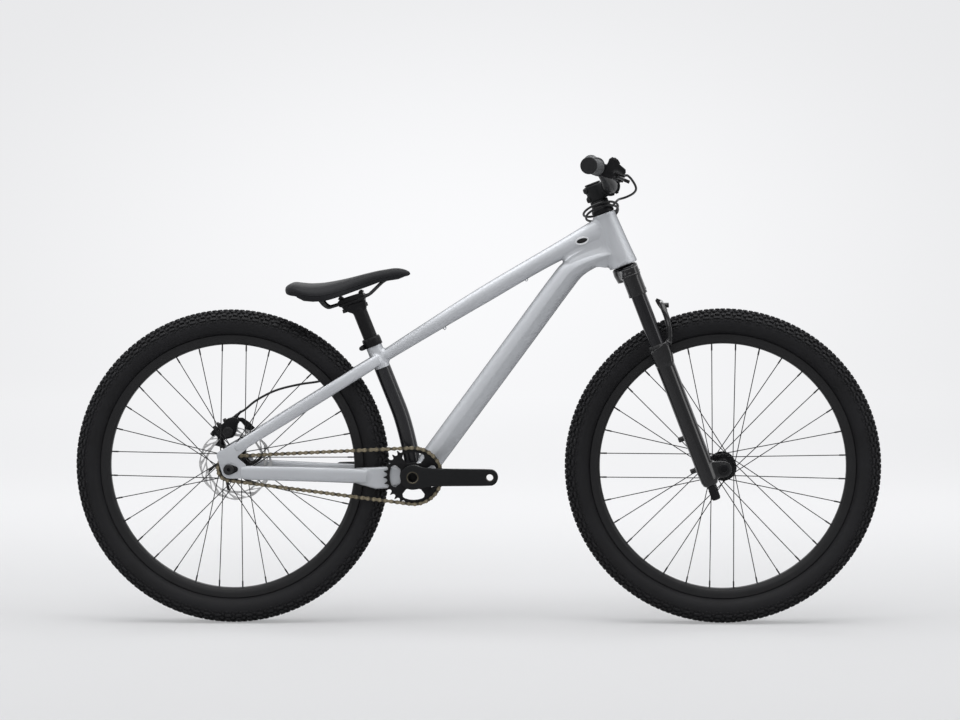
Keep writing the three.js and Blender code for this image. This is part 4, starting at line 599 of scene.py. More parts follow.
hose_path = eased(smooth_rows([tuple(p) for p in free_hose_points()], 260), 60, 7)
front_hose = piece("brake_hose_front_jacket", wire(hose_path, HOSE_RADIUS, 16, 260), None,
    HOSE_JACKET, ["brake_hose_front"], sharp=60)
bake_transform(front_hose)

# ---------------------------------------------------------------- wheels
TYRE_SKIN = [(280.3, 11.2), (285.6, 11.6), (288.2, 15.4), (293, 21.4), (299, 26), (306, 28.4), (313, 28.6),
    (319.5, 26.7), (325.2, 22.8), (330, 17.2), (333.4, 10.8), (335.2, 4.5), (335.5, 0)]
TYRE_INSIDE = [(332.4, 0), (331, 8), (326, 16.5), (317, 23.2), (307, 25), (298, 22), (290, 15), (286.5, 9.5),
    (280.3, 8.6)]


def tyre_surface(across):
    """Radius and lean of the tread at a distance from the middle."""
    crown = [(a, r) for r, a in TYRE_SKIN if r > 306][::-1]
    places, radii = [c[0] for c in crown], [c[1] for c in crown]
    radius = np.interp(abs(across), places, radii)
    slope = (np.interp(abs(across) + 1, places, radii) - np.interp(abs(across) - 1, places, radii)) / 2
    return radius, math.copysign(math.atan(-slope), across) if across else 0.0


def knob(angle, across, along, wide, high, skew=0.0):
    """A tapered tread block at an angle round the wheel."""
    radius, lean = tyre_surface(across)
    out = Vector((math.cos(angle) * math.cos(lean), math.sin(lean), math.sin(angle) * math.cos(lean)))
    ahead = Vector((-math.sin(angle), 0, math.cos(angle)))
    side = out.cross(ahead)
    ahead, side = (ahead * math.cos(skew) + side * math.sin(skew),
        side * math.cos(skew) - ahead * math.sin(skew))
    foot = around(radius, angle, across)
    points = []
    for rise, shrink in ((-1.8, 1.12), (high * 0.8, 1.0), (high, 0.84)):
        for a, b in ((-1, -1), (1, -1), (1, 1), (-1, 1)):
            points.append(foot + out * rise + ahead * (a * along / 2 * shrink)
                + side * (b * wide / 2 * shrink))
    faces = [[3, 2, 1, 0], [8, 9, 10, 11]]
    for level in (0, 4):
        faces += [[level + i, level + (i + 1) % 4, level + 4 + (i + 1) % 4, level + 4 + i] for i in range(4)]
    return points, faces


KNOB_PITCHES = 88
# Each row: place across, length along, width, height, shift in pitches, skew
KNOB_HALF = [(3.9, 9.6, 6.4, 4.3, 0.0, 0.10), (4.6, 7.6, 5.6, 4.3, 0.5, -0.2),
    (11.6, 9.0, 6.6, 4.1, 0.25, 0.36), (13.4, 7.4, 6.0, 4.1, 0.75, -0.3), (19.4, 9.4, 6.0, 4.2, 0.02, 0.2),
    (21.6, 6.6, 5.6, 4.0, 0.5, -0.3), (25.3, 12.8, 5.4, 3.2, 0.1, 0.0), (26.6, 4.6, 3.8, 2.2, 0.62, 0.0),
    (27.9, 3.6, 4.4, 1.6, -0.06, 0.0), (27.9, 3.6, 4.4, 1.6, 0.27, 0.0)]
KNOB_ROWS = KNOB_HALF + [(-across, along, wide, high, shift + 0.5, -skew)
    for across, along, wide, high, shift, skew in KNOB_HALF]


def both_ways(half):
    """A profile that ends on the wheel's middle plane, carried on to the other side."""
    return half + [(r, -a) for r, a in half[::-1]][1:]


def build_tyre(end, centre):
    half = [(r, a) for r, a, _ in smooth_rows([(r, a, 0) for r, a in TYRE_SKIN], 26)]
    inside = [(r, a, 0) for r, a in TYRE_INSIDE]
    inner = [(r, a) for r, a, _ in smooth_rows(inside, 12)]
    profile = both_ways(half) + both_ways(inner[::-1])[::-1]
    form = Form(moved(spun(profile, 144), centre))
    for pitch in range(KNOB_PITCHES):
        for across, along, wide, high, shift, skew in KNOB_ROWS:
            form.add(knob(TURN * (pitch + shift) / KNOB_PITCHES, across, along, wide, high, skew), centre)
    piece(f"{end}_tyre_tread", form, f"{end}_wheel", RUBBER, [f"{end}_tyre"], sharp=45)


RIM_HALF = [(279.4, 10.6), (281.2, 11.6), (285.2, 11.8), (285.5, 12.4), (285.4, 14.0), (284.6, 14.5),
    (276, 14.1), (270.5, 12.7), (266.6, 9.8), (264.6, 6.2), (264, 0)]
RIM_INSIDE = [(275.4, 0), (275.6, 6), (278.2, 9.4)]


def build_rim(end, centre, valve_turn):
    profile = both_ways(RIM_HALF) + both_ways(RIM_INSIDE[::-1])[::-1]
    piece(f"{end}_rim_hoop", moved(spun(profile, 144), centre), f"{end}_wheel", RIM_BLACK,
        [f"{end}_rim"], sharp=30)
    ahead = around(1, math.radians(valve_turn))
    stem = turned([(0, 0), (4.6, 0), (4.6, 2.6), (3.1, 3.4), (3.0, 26), (2.2, 27), (2.2, 30), (3.1, 30.5),
        (3.1, 38), (2.4, 39.5), (0, 40)], centre + ahead * 265.5, centre + ahead * 225, 20)
    piece(f"{end}_rim_hoop_valve", stem, f"{end}_wheel", DARK_STEEL)


SPOKES_PER_SIDE, SPOKE_CIRCLE = 16, 24


def build_spokes(front_or_rear, word, side, centre, span, turn):
    step = TURN / SPOKES_PER_SIDE
    phase = math.radians(turn) + (step / 2 if side > 0 else 0)
    form, nipples = Form(), Form()
    for index in range(SPOKES_PER_SIDE):
        hub_angle = phase + index * step
        leading = index % 2 == 0
        rim_angle = hub_angle + (1 if leading else -1) * 3 * step
        face = span + (-2.7 if leading else 2.7)
        start = centre + around(SPOKE_CIRCLE, hub_angle, side * face)
        end = centre + around(262, rim_angle, side * 2)
        ahead = (end - start).normalized()
        head = side * (span + (4.2 if leading else -4.2)) - start.y
        form.add(wire([tuple(start + Vector((0, head, 0))), tuple(start + Vector((0, head * 0.25, 0))),
            tuple(start + ahead * 2.2), tuple(start + ahead * 6)], 1.15, 8, 10))
        form.add(rod(1.0, start + ahead * 5.6, end - ahead * 9, 10))
        form.add(turned([(0, 0), (2.3, 0.1), (2.1, 1.1), (0, 1.4)], start + Vector((0, head, 0)),
            start + Vector((0, head * 1.4, 0)), 12))
        nipples.add(turned([(0, 0), (1.4, 0.2), (1.75, 1.2), (1.75, 9.5), (1.6, 10), (1.6, 16), (0, 16)],
            end - ahead * 12, end + ahead * 4, 8))
    name, body = f"{front_or_rear}_spokes_{word}", f"{front_or_rear}_wheel"
    piece(f"{name}_set", form, body, SPOKE_BLACK, [name], sharp=50)
    piece(f"{name}_set_nipples", nipples, body, DARK_STEEL)


def build_hub(end, centre, span, turn, seat, right_end, left_end):
    """A lathe-turned shell with drilled flanges, and a disc seat on the left."""
    bore, driver = 13.4, 15
    shell = [(bore, -right_end), (driver - 0.8, -right_end), (driver, -right_end + 0.8), (driver, -span - 7),
        (16.4, -span - 4), (19, -span - 1.6), (22, -span - 1.5), (22, -span + 1.5), (18.6, -span + 2.2),
        (15.6, -span + 6), (14.4, -span + 12), (14.0, 0), (14.4, span - 12), (15.6, span - 6),
        (18.6, span - 2.2), (22, span - 1.5), (22, span + 1.5), (19, span + 1.6), (16, span + 3.5),
        (15.4, seat - 8), (21, seat - 7.5), (22, seat - 6.8), (22, seat - 0.6), (21.6, seat - 0.1),
        (driver, seat - 0.1)]
    if left_end > seat:
        shell += [(driver, left_end - 0.7), (driver - 0.7, left_end)]
    shell.append((bore, left_end if left_end > seat else seat - 0.1))
    form = Form(moved(spun(shell, 72), centre))
    holes = TURN / SPOKES_PER_SIDE
    for side in (1, -1):
        phase = (holes / 2 if side > 0 else 0) + math.radians(turn)
        drilled = [circle(1.5, *polar(SPOKE_CIRCLE, phase + i * holes), 10) for i in range(SPOKES_PER_SIDE)]
        form.add(slab(circle(29, steps=96), side * span - 1.5, side * span + 1.5, [circle(20), *drilled]),
            centre)
    piece(f"{end}_hub_shell", form, f"{end}_wheel", ANODISED, [f"{end}_hub"])


# Each wheel: name, axle, half the flange span, spokes' turn, valve's turn, disc seat, right and left end
WHEELS = [("rear", REAR_AXLE, 32, 4.3, -3.2, 52, 59.8, 52),
    ("front", FRONT_AXLE, 28, 5.2, 119.4, 41, 44.6, 44.6)]
for end, centre, span, turn, valve_turn, seat, right_end, left_end in WHEELS:
    build_tyre(end, centre)
    build_rim(end, centre, valve_turn)
    for word, side in SIDES:
        build_spokes(end, word, side, centre, span, turn)
for end, centre, span, turn, valve_turn, seat, right_end, left_end in WHEELS:
    build_hub(end, centre, span, turn, seat, right_end, left_end)


def axle_form(centre, radius, half, cap, cap_from, cap_to, head, socket):
    """An axle with bearings, end caps and a socket-headed bolt at each end."""
    bearing, thickness = 12.7, 5
    side = [(radius, 20.5), (bearing, 20.5), (bearing, cap_from), (cap, cap_from), (cap, cap_to - 0.5),
        (cap - 0.5, cap_to), (radius, cap_to), (radius, half - thickness), (head - 0.7, half - thickness),
        (head, half - thickness + 0.8), (head, half - 1.1), (head - 1.1, half), (socket, half),
        (socket - 0.4, half - 0.4), (socket - 0.4, half - 4.2), (0, half - 4.4)]
    return moved(spun([(r, -a) for r, a in side[::-1]] + side, 48), centre)


rear_bolts = axle_form(REAR_AXLE, 6, 80.3, 9, 60.3, 67.2, 11.3, 4.4)
piece("rear_axle_bolts", rear_bolts, "frame", DARK_STEEL, ["rear_axle"])
front_bolts = axle_form(FRONT_AXLE, 7.5, 79.3, 11, 44.9, 49.7, 12.2, 6.8)
piece("front_axle_thru", front_bolts, "fork_lower_legs", ANODISED, ["front_axle"])


def rotor_form():
    """The braking ring with leaning slots, and the slim-armed carrier that holds it."""
    plane, half = 53.2, 0.9
    outer = [polar(r, a) for a in np.linspace(0, TURN, 193)[:-1] for r in [79.1 + 0.9 * math.cos(12 * a)]]
    inner = [polar(r, a) for a in np.linspace(0, TURN, 145)[:-1]
        for r in [61.2 + 1.4 * math.cos(6 * a + 0.5)]]
    holes, count = [inner], 24
    for i in range(count):
        middle = TURN * i / count
        wide = TURN / count * 0.33
        lean = 0.12
        reach = 76.2 if i % 2 else 74.2
        holes.append([polar(r, middle + d * wide + lean * s)
            for r, d, s in ((65.4, -0.9, -1), (65.4, 0.7, -1), (68, 1.0, -0.5), (reach - 1.6, 1.0, 0.8),
            (reach, 0.8, 1), (reach, -0.8, 1), (reach - 2.4, -1.0, 0.7), (67, -1.0, -0.7))])
    ring = slab(outer, plane - half, plane + half, holes)
    carrier, arms = [], 6
    for i in range(arms):
        start, step = TURN * i / arms, TURN / arms
        carrier.append(polar(31, start - 0.30))
        carrier.append(polar(34, start - 0.13))
        for r, lean, wide in ((46, 0.10, 0.075), (58, 0.24, 0.062), (63.5, 0.32, 0.085)):
            carrier.append(polar(r, start + lean - wide))
        for r, lean, wide in ((63.5, 0.32, 0.085), (58, 0.24, 0.062), (46, 0.10, 0.075)):
            carrier.append(polar(r, start + lean + wide))
        carrier.append(polar(34, start + 0.16))
        carrier.append(polar(30.5, start + 0.36))
    bolts = [circle(2.6, 22 * math.cos(TURN * i / 6), 22 * math.sin(TURN * i / 6), 16) for i in range(6)]
    return ring, slab(carrier, plane - half * 0.96, plane + half * 0.96, [circle(13.5), *bolts])


for word, shape, skin in zip(("ring", "carrier"), rotor_form(), (ROTOR_STEEL, DARK_STEEL)):
    piece(f"brake_rotor_{word}", moved(shape, REAR_AXLE), "rear_wheel", skin,
        ["brake_rotor"] if word == "ring" else None, bevel=0.25, bevel_steps=1)
rotor_bolts = Form()
for bolt in range(6):
    bolt_angle = TURN * bolt / 6
    at = REAR_AXLE + around(22, bolt_angle)
    rotor_bolts.add(turned([(0, 0), (2.4, 0), (2.4, 6), (4.2, 6.1), (4.2, 7.6), (3.4, 8.4), (1.7, 8.4),
        (1.5, 7.2), (0, 7.1)], at + Vector((0, 48, 0)), at + Vector((0, 60, 0)), 16))
piece("rotor_bolts", rotor_bolts, "rear_wheel", DARK_STEEL)

# ---------------------------------------------------------------- chain drive
LINK = 12.7
LINKS, RING_TEETH, COG_TEETH, CHAIN_LINE = 84, 30, 13, -50
CRANK_LENGTH = 165
RING_PITCH = LINK / (2 * math.sin(math.pi / RING_TEETH))
COG_PITCH = LINK / (2 * math.sin(math.pi / COG_TEETH))
RING_ARC, COG_ARC = RING_TEETH * LINK / TURN, COG_TEETH * LINK / TURN
chain_span = (REAR_AXLE - BRACKET).length
chain_heading = math.atan2(REAR_AXLE.z - BRACKET.z, REAR_AXLE.x - BRACKET.x)
chain_contact = math.acos((RING_ARC - COG_ARC) / chain_span)
chain_top, chain_bottom = chain_heading - chain_contact, chain_heading + chain_contact
ring_length = (TURN - 2 * chain_contact) * RING_ARC
straight_length = math.sqrt(chain_span ** 2 - (RING_ARC - COG_ARC) ** 2)
cog_start = ring_length + straight_length
cog_length = 2 * chain_contact * COG_ARC
first_cog_roller = math.ceil(cog_start / LINK) * LINK
cog_phase = chain_bottom - (first_cog_roller - cog_start) / COG_ARC


def on_circle(centre, radius, angle):
    return Vector((centre.x + radius * math.cos(angle), CHAIN_LINE, centre.z + radius * math.sin(angle)))


def roller_at(length):
    if length < ring_length:
        return on_circle(BRACKET, RING_PITCH, chain_top - length / RING_ARC)
    if length < cog_start:
        share = (length - ring_length) / straight_length
        return on_circle(BRACKET, RING_ARC, chain_bottom).lerp(on_circle(REAR_AXLE, COG_ARC, chain_bottom),
            share)
    if length < cog_start + cog_length:
        return on_circle(REAR_AXLE, COG_PITCH, chain_bottom - (length - cog_start) / COG_ARC)
    share = (length - cog_start - cog_length) / straight_length
    return on_circle(REAR_AXLE, COG_ARC, chain_top).lerp(on_circle(BRACKET, RING_ARC, chain_top), share)


def link_plate(waist):
    """A chain plate's outline between two rollers one link apart, narrowed in the middle."""
    half, end = LINK / 2, 4.1
    top = arc(half, 0, end, -0.66 * math.pi, 0.66 * math.pi, 9)
    back = arc(-half, 0, end, 0.34 * math.pi, 1.66 * math.pi, 9)
    return top + [(0, waist)] + back + [(0, -waist)]


plates, inner_plates, pins = Form(), Form(), Form()
rollers = [roller_at(i * LINK) for i in range(LINKS)]
for i in range(LINKS):
    here, there = rollers[i], rollers[(i + 1) % LINKS]
    middle, run = (here + there) / 2, there - here
    turn_to = Matrix.Translation(Vector((middle.x, 0, middle.z))) @ Matrix.Rotation(-math.atan2(run.z,
        run.x), 4, "Y")
    inner = i % 2 == 0
    for side in (1, -1):
        near, far = (2.05, 3.15) if inner else (3.25, 4.35)
        edges = sorted((CHAIN_LINE + side * near, CHAIN_LINE + side * far))
        (inner_plates if inner else plates).add(slab(link_plate(2.5 if inner else 2.1), *edges), turn_to)
    pins.add(turned([(0, 0), (1.5, 0), (1.75, 0.3), (1.75, 8.7), (1.5, 9), (0, 9)],
        here - Vector((0, 4.5, 0)), here + Vector((0, 4.5, 0)), 12))
    pins.add(turned([(0, 0), (3.85, 0), (3.85, 4.0), (0, 4.0)], here - Vector((0, 2, 0)),
        here + Vector((0, 2, 0)), 18))
piece("chain_plates", plates, "frame", CHAIN_BRONZE, ["chain"], bevel=0.22, bevel_steps=1)
piece("chain_inner_plates", inner_plates, "frame", CHAIN_DARK)
piece("chain_pins_and_rollers", pins, "frame", CHAIN_STEEL)


def toothed(teeth, phase):
    step = TURN / teeth
    pitch = LINK / (2 * math.sin(step / 2))
    seat, tip = 4.0, pitch + 3.6
    points = []
    for tooth in range(teeth):
        angle = phase + tooth * step
        centre = polar(pitch, angle)
        half_tip = step / 2 - 0.8 / tip
        points.append(polar(tip, angle - half_tip))
        points += [(centre[0] + seat * math.cos(angle + math.pi + a),
            centre[1] + seat * math.sin(angle + math.pi + a)) for a in np.linspace(1.22, -1.22, 7)[::-1] * -1]
        points.append(polar(tip, angle + half_tip))
    return points


cog = Form()
cog.add(slab(toothed(COG_TEETH, cog_phase), CHAIN_LINE - 1, CHAIN_LINE + 1, [circle(18.7, steps=60)]),
    REAR_AXLE)
cog.add(spun([(15.75, -59.4), (17.6, -59.4), (18.4, -58.6), (18.4, -53.4), (20.6, -52.6), (20.6, -47.6),
    (19, -46.8), (19, -42.4), (18.2, -41.6), (15.75, -41.6)], 60), REAR_AXLE)
piece("rear_cog_teeth", cog, "freewheel", DARK_STEEL, ["rear_cog"], bevel=0.3, bevel_steps=1)


def ring_window(middle):
    """A window between two arms, with its corners cut."""
    half, inner, outer = math.radians(34), 29.5, 51.4
    points = [(inner, -0.62), (inner, 0), (inner, 0.62), (inner + 3.2, 0.86), (outer - 6, 0.93),
        (outer - 0.9, 0.78), (outer, 0.62), (outer, 0.3), (outer, 0), (outer, -0.3), (outer, -0.62),
        (outer - 0.9, -0.78), (outer - 6, -0.93), (inner + 3.2, -0.86)]
    return [polar(r, middle + s * half) for r, s in points]


chainring = Form(moved(slab(toothed(RING_TEETH, chain_top), CHAIN_LINE - 1, CHAIN_LINE + 1,
    [circle(52.6, steps=96)]), BRACKET))
chainring.add(slab(circle(54.4, steps=96), CHAIN_LINE - 2.1, CHAIN_LINE + 1.5,
    [circle(18.2), *[ring_window(TURN * i / 4) for i in range(4)]]), BRACKET)
piece("chainring_spider", chainring, "cranks", ANODISED, ["chainring"], bevel=0.45)


def crank_form(side):
    """A forged arm whose flat face narrows from the boss to a round end."""
    toward = -side
    xs = [(0, 26), (9, 25.2), (18, 22.6), (28, 20.3), (42, 19.0), (60, 18.4), (100, 18.0), (150, 17.7)]
    rows = smooth_rows([(x, h, 0) for x, h in xs], 26)
    upper = [(toward * x, h) for x, h, _ in rows]
    end = [(toward * x, z) for x, z in arc(CRANK_LENGTH, 0, 17.6, math.pi * 0.42, -math.pi * 0.42, 18)]
    lower = [(x, -z) for x, z in upper[::-1]]
    back = [(toward * x, z) for x, z in arc(0, 0, 26, -math.pi / 2, -1.5 * math.pi, 26)][1:-1]
    outline = upper + end + lower + back
    holes = [circle(12.6), circle(7.3, toward * CRANK_LENGTH, 0, 32)]
    return Form(slab(outline, 71, 85, holes, side), slab(circle(25.4, steps=60), 51.5, 72, [circle(12.6)],
        side))


for word, side in (("right", -1), ("left", 1)):
    arm = crank_form(side)
    arm.points = [Vector(p) + BRACKET for p in arm.points]
    piece(f"crank_arm_{word}_forging", arm, "cranks", FORGED, [f"crank_arm_{word}"], bevel=2.2,
        bevel_steps=3, bevel_angle=40)
    trim = Form()
    trim.add(spun([(10.4, 79.4), (12.2, 79.4), (13.2, 84.2), (13.0, 84.8), (11.6, 84.9), (10.6, 84)], 48,
        side), BRACKET)
    trim.add(spun([(7.35, 71.4), (8.7, 71.4), (8.7, 84.6), (8.3, 85), (7.7, 85), (7.35, 84.6)], 36, side),
        Matrix.Translation(BRACKET + Vector((-side * CRANK_LENGTH, 0, 0))))
    piece(f"crank_{word}_inserts", trim, "cranks", CHAIN_DARK)
spindle = moved(spun([(9, -78), (9.6, -79), (12, -79), (12, 79), (9.6, 79), (9, 78)], 48), BRACKET)
piece("crank_spindle_tube", spindle, "cranks", DARK_STEEL, ["crank_spindle"])
stops = Form()
for side in (1, -1):
    stops.add(spun([(0, 58), (9.05, 58), (9.05, 56), (0, 56)], 32, side), BRACKET)
piece("crank_spindle_stops", stops, "cranks", BLACK_PLASTIC)
for word, side in (("right", -1), ("left", 1)):
    cup = spun([(12.7, 22.5), (17, 22.5), (17, 36.8), (20.4, 36.8), (21.5, 37.6), (21.5, 43.4), (20.7, 44.3),
        (16, 44.3), (15.4, 43.5), (12.7, 43.5)], 60, side)
    form = Form(moved(cup, BRACKET))
    for notch in range(16):
        angle = TURN * notch / 16
        spot = BRACKET + around(21.2, angle)
        form.add(rod(1.3, spot + Vector((0, side * 37.8, 0)), spot + Vector((0, side * 43, 0)), 8))
    piece(f"bottom_bracket_cup_{word}_shell", form, "frame", ANODISED,
        [f"bottom_bracket_cup_{word}"])

# ---------------------------------------------------------------- frame
def bowed(start, end, bow, shares, wide, high):
    """Rows along a straight run that bows to one side in the bike's middle plane."""
    run = end - start
    normal = Vector((-run.z, 0, run.x)).normalized()
    return [tuple(start + run * along + normal * (aside * bow)) + (wide * w, high * h)
        for along, aside, w, h in shares]


TOP_ROWS = bowed(seat_axis(49), head_axis(34), 10, [(0, 0, 0.8, 0.64), (0.04, 0.1, 0.82, 0.65),
    (0.25, 0.55, 0.88, 0.78), (0.45, 0.9, 0.94, 0.9), (0.8, 1, 1, 1), (0.954, 0.3, 1.12, 1.45),
    (1, 0, 1.15, 1.5)], 36, 40)
DOWN_ROWS = bowed(Vector((BRACKET.x + 8, 0, BRACKET.z - 6.5)), head_axis(HEAD_LENGTH - 30), 50.5,
    [(0, 0, 0.92, 0.98), (0.56, 0.66, 1, 1), (0.8, 0.95, 1.04, 1), (0.845, 0.98, 1.04, 0.98),
    (0.875, 0.9, 1.05, 0.88), (0.91, 0.72, 1.05, 0.76), (0.95, 0.44, 1.06, 0.66), (1, 0, 1.06, 0.62)], 48, 52)
bend, lead = seat_axis(160), seat_axis(160 * 1.31)
SEAT_TUBE_PATH = [seat_axis(drop) for drop in (0, 40, 80, 120)] + [bend * (1 - t) ** 2
    + lead * (2 * t * (1 - t)) + BRACKET * t ** 2 for t in np.linspace(0, 1, 9)]
YOKE_SIZE, DROPOUT_SIZE, STAY_ASIDE = 128, 64, 71.25
DROPOUT = [(-0.42, 0.55), (0.28, 0.95), (0.69, 0.75), (0.27, 0.42), (0.6, 0.13), (0.6, -0.31), (-0.05, -0.3),
    (-0.2, -0.2), (-0.33, 0.22)]


def part_way(start, end, share):
    return tuple(a + (b - a) * share for a, b in zip(start, end))


def dropout_at(along, up):
    return REAR_AXLE.x + along * DROPOUT_SIZE, REAR_AXLE.z + up * DROPOUT_SIZE


def smooth_tube(rows, count, **kind):
    return tube(smooth_rows(rows, count), **kind)


def seat_stay(side):
    start = seat_axis(48)
    end_x, end_z = dropout_at(0.485, 0.85)
    spread = [(0, 0, 0.96), (0.1, 0.26, 1), (0.195, 0.43, 1), (0.29, 0.56, 1), (0.468, 0.68, 1),
        (0.843, 0.89, 0.92), (1.01, 0.985, 0.86)]
    rows = [(start.x + (end_x - start.x) * run, side * (15 + (STAY_ASIDE - 15) * aside),
        start.z + (end_z - start.z) * run, 16 * size, 26 * size) for run, aside, size in spread]
    rows.append((rows[-1][0] - 14, rows[-1][1], rows[-1][2] - 8.5, 11, 17))
    return smooth_tube(rows, 120, sides=72, squareness=2.7)


def chain_stay(side):
    start = Vector((BRACKET.x - 128.3, side * 43, BRACKET.z + 0.192))
    end = Vector((dropout_at(0.6, 0)[0], side * STAY_ASIDE, REAR_AXLE.z - 7))
    spread = [(-0.12, -0.01, 0.9), (0, 0, 1), (0.29, 0.14, 1), (0.6, 0.45, 0.98), (0.83, 0.82, 0.95),
        (1.0, 1, 0.92)]
    rows = [(start.x + (end.x - start.x) * run, start.y + (end.y - start.y) * aside,
        start.z + (end.z - start.z) * run, 15 * size, 32 * size) for run, aside, size in spread]
    rows.append((end.x - 13, end.y, end.z + 1, 10.5, 24))
    return smooth_tube(rows, 112, sides=72, squareness=2.7)


def head_tube():
    rows = [(24.6, 0), (24.9, -1.2), (24.9, -6.5), (24.3, -9), (24.4, -14), (25.4, -34), (27.4, -70),
        (29.6, -100), (30.4, -110), (30.9, -113), (30.9, -HEAD_LENGTH + 0.8), (30.3, -HEAD_LENGTH)]
    return spun([(0, 0)] + rows + [(0, -HEAD_LENGTH)], 120)


def yoke():
    top = [(1, 0.128), (0.43, 0.152), (0.16, 0.152)]
    low = [(0.1, -0.15), (0.42, -0.213), (0.64, -0.227), (0.8, -0.18), (1, -0.125)]
    outline = [(BRACKET.x - back * YOKE_SIZE, BRACKET.z + rise * YOKE_SIZE) for back, rise in top + low]
    blank = as_mesh("yoke", slab(outline, -44, 44), bevel=4.5, bevel_steps=3)
    slot = moved(spun([(0, -35.5), (349, -35.5), (349, 35.5), (0, 35.5)], 160), REAR_AXLE)
    return carve(blank, slot)


head_in_place = moved(head_tube(), STEERING @ UPRIGHT)
shell = moved(spun([(0, -36.5), (21.4, -36.5), (22, -35.9), (22, 35.9), (21.4, 36.5), (0, 36.5)], 64),
    BRACKET)
upper_seat_tube = rod(17.45, seat_axis(72), seat_axis(0), 56, edge=0.5)
seat_foot = tube([tuple(p) + (34.4, 34.4) for p in [SEAT_TUBE_PATH[-1].lerp(SEAT_TUBE_PATH[-2], s)
    for s in (0, 0.5, 1)]], 40)
web_outline = [(188, 782), (196, 789), (226, 806), (262, 826), (296, 836), (310, 800), (280, 768),
    (250, 772), (222, 781), (200, 779)]
web = slab(web_outline, -18.5, 18.5)
weldment = melted("frame_weldment", [web, head_in_place, shell, upper_seat_tube, seat_foot, yoke(),
    smooth_tube(TOP_ROWS, 140, sides=96, squareness=2.6, ridge=0.05),
    smooth_tube(DOWN_ROWS, 180, sides=120, squareness=2.5, ridge=0.2),
    *[shape(side) for shape in (seat_stay, chain_stay) for side in (1, -1)]], 1.9, 70, even=8,
    true_within=1.0)
THROUGH = Vector((0, 60, 0))
weldment = carve(weldment, rod(15.9, seat_axis(130), seat_axis(-4), 48),
    rod(17.2, BRACKET - THROUGH, BRACKET + THROUGH, 48), Form(rod(21.2, head_axis(-4), head_axis(7.2), 48),
    rod(26.2, head_axis(HEAD_LENGTH - 7.2), head_axis(HEAD_LENGTH + 4), 48)))
settle(weldment, 60)
show(weldment, "frame_weldment", "frame", SILVER_PAINT,
    ["head_tube", "top_tube", "down_tube", "seat_tube", "bottom_bracket_yoke", "chainstay_left",
    "chainstay_right", "seatstay_left", "seatstay_right"])

black_tube = smooth_rows([tuple(p) + (35.3, 35.3) for p in SEAT_TUBE_PATH], 60)
upward = seat_axis(0) - seat_axis(1)
start_at = next(i for i, row in enumerate(black_tube) if (Vector(row[:3]) - seat_axis(68)).dot(upward) < 0)
lower_tube = as_mesh("seat_tube_lower", tube(black_tube[start_at:], 56), sharp=50)
lower_tube = carve(lower_tube, rod(15.9, seat_axis(172), seat_axis(0), 48),
    rod(20.8, BRACKET - THROUGH, BRACKET + THROUGH, 48))
settle(lower_tube, 50)
show(lower_tube, "seat_tube_lower", "frame", BLACK_GLOSS_PAINT, ["seat_tube"])

for word, side in SIDES:
    corners = [dropout_at(*p) for p in DROPOUT]
    outline = []
    for before, corner, after in zip(corners[-1:] + corners, corners, corners[1:] + corners[:1]):
        outline += [part_way(before, corner, share) for share in (0.82, 0.92)]
        outline.append(tuple(c * 0.86 + (b + a) * 0.07 for b, c, a in zip(before, corner, after)))
        outline += [part_way(corner, after, share) for share in (0.08, 0.18)]
    slot = link_outline(REAR_AXLE.x, REAR_AXLE.z, 6.5, REAR_AXLE.x + 13, REAR_AXLE.z + 0.6, 4.6, 10)
    plate = as_mesh("plate", slab(outline, 67.5, 75, [slot], side), bevel=1.5, bevel_steps=3)
    groove = [(-560, 349.4), (-531, 349.8), (-531, 350.8), (-560, 350.4)]
    plate = carve(plate, slab(groove, 74.2, 76, side=side))
    settle(plate, 35)
    show(plate, f"dropout_{word}_plate", "frame", SILVER_PAINT, [f"dropout_{word}"])
    trim = moved(spun([(14.6, 73.8), (14.9, 75.25), (15.6, 75.45), (16.6, 75.25), (17, 73.8)], 56, side),
        REAR_AXLE + Vector((4.5, 0, -0.4)))
    piece(f"dropout_{word}_ring", trim, "frame", SILVER_PAINT, sharp=50)
    tug_shape = link_outline(REAR_AXLE.x, REAR_AXLE.z, 11.6, REAR_AXLE.x + 14, REAR_AXLE.z + 0.8, 6.4)
    tug = Form(slab(tug_shape, 74.6, 76.6, side=side))
    tug.add(turned([(0, 0), (3.9, 0), (3.9, 2.6), (3.3, 3.1), (1.9, 3.1), (1.7, 2.0), (0, 1.9)],
        (14, side * 75, 0.8), (14, side * 79, 0.8), 24, place=Matrix.Translation(REAR_AXLE)))
    piece(f"dropout_{word}_tug", tug, "frame", ANODISED, bevel=0.3, bevel_steps=1)


frame_skin = BVHTree.FromPolygons([v.co for v in weldment.vertices],
    [tuple(f.vertices) for f in weldment.polygons])


def port(side):
    """The oval plug in the top tube near the head, with its raised rim."""
    spot = Vector((228, side * 60, 826.2)) if side < 0 else Vector((231.5, side * 60, 832))
    middle = frame_skin.ray_cast(spot * MM, Vector((0, -side, 0)))[0] / MM
    place = place_at(middle, math.atan2(31, 108))
    oval, wide = ([(x * a, z * b) for a, b in circle(1, steps=40)] for x, z in ((11.5, 4.9), (15.2, 8.5)))
    hole = [(x * 1.02, z * 1.04) for x, z in oval]
    return moved(slab(oval, -3, 1.2, side=side), place), moved(slab(wide, -3, 1.9, [hole], side), place)


for word, side in SIDES:
    plug, rim = port(side)
    piece(f"port_{word}_plug", plug, "frame", BLACK_PLASTIC, bevel=0.5)
    piece(f"port_{word}_rim", rim, "frame", BARE_SILVER, bevel=0.6)

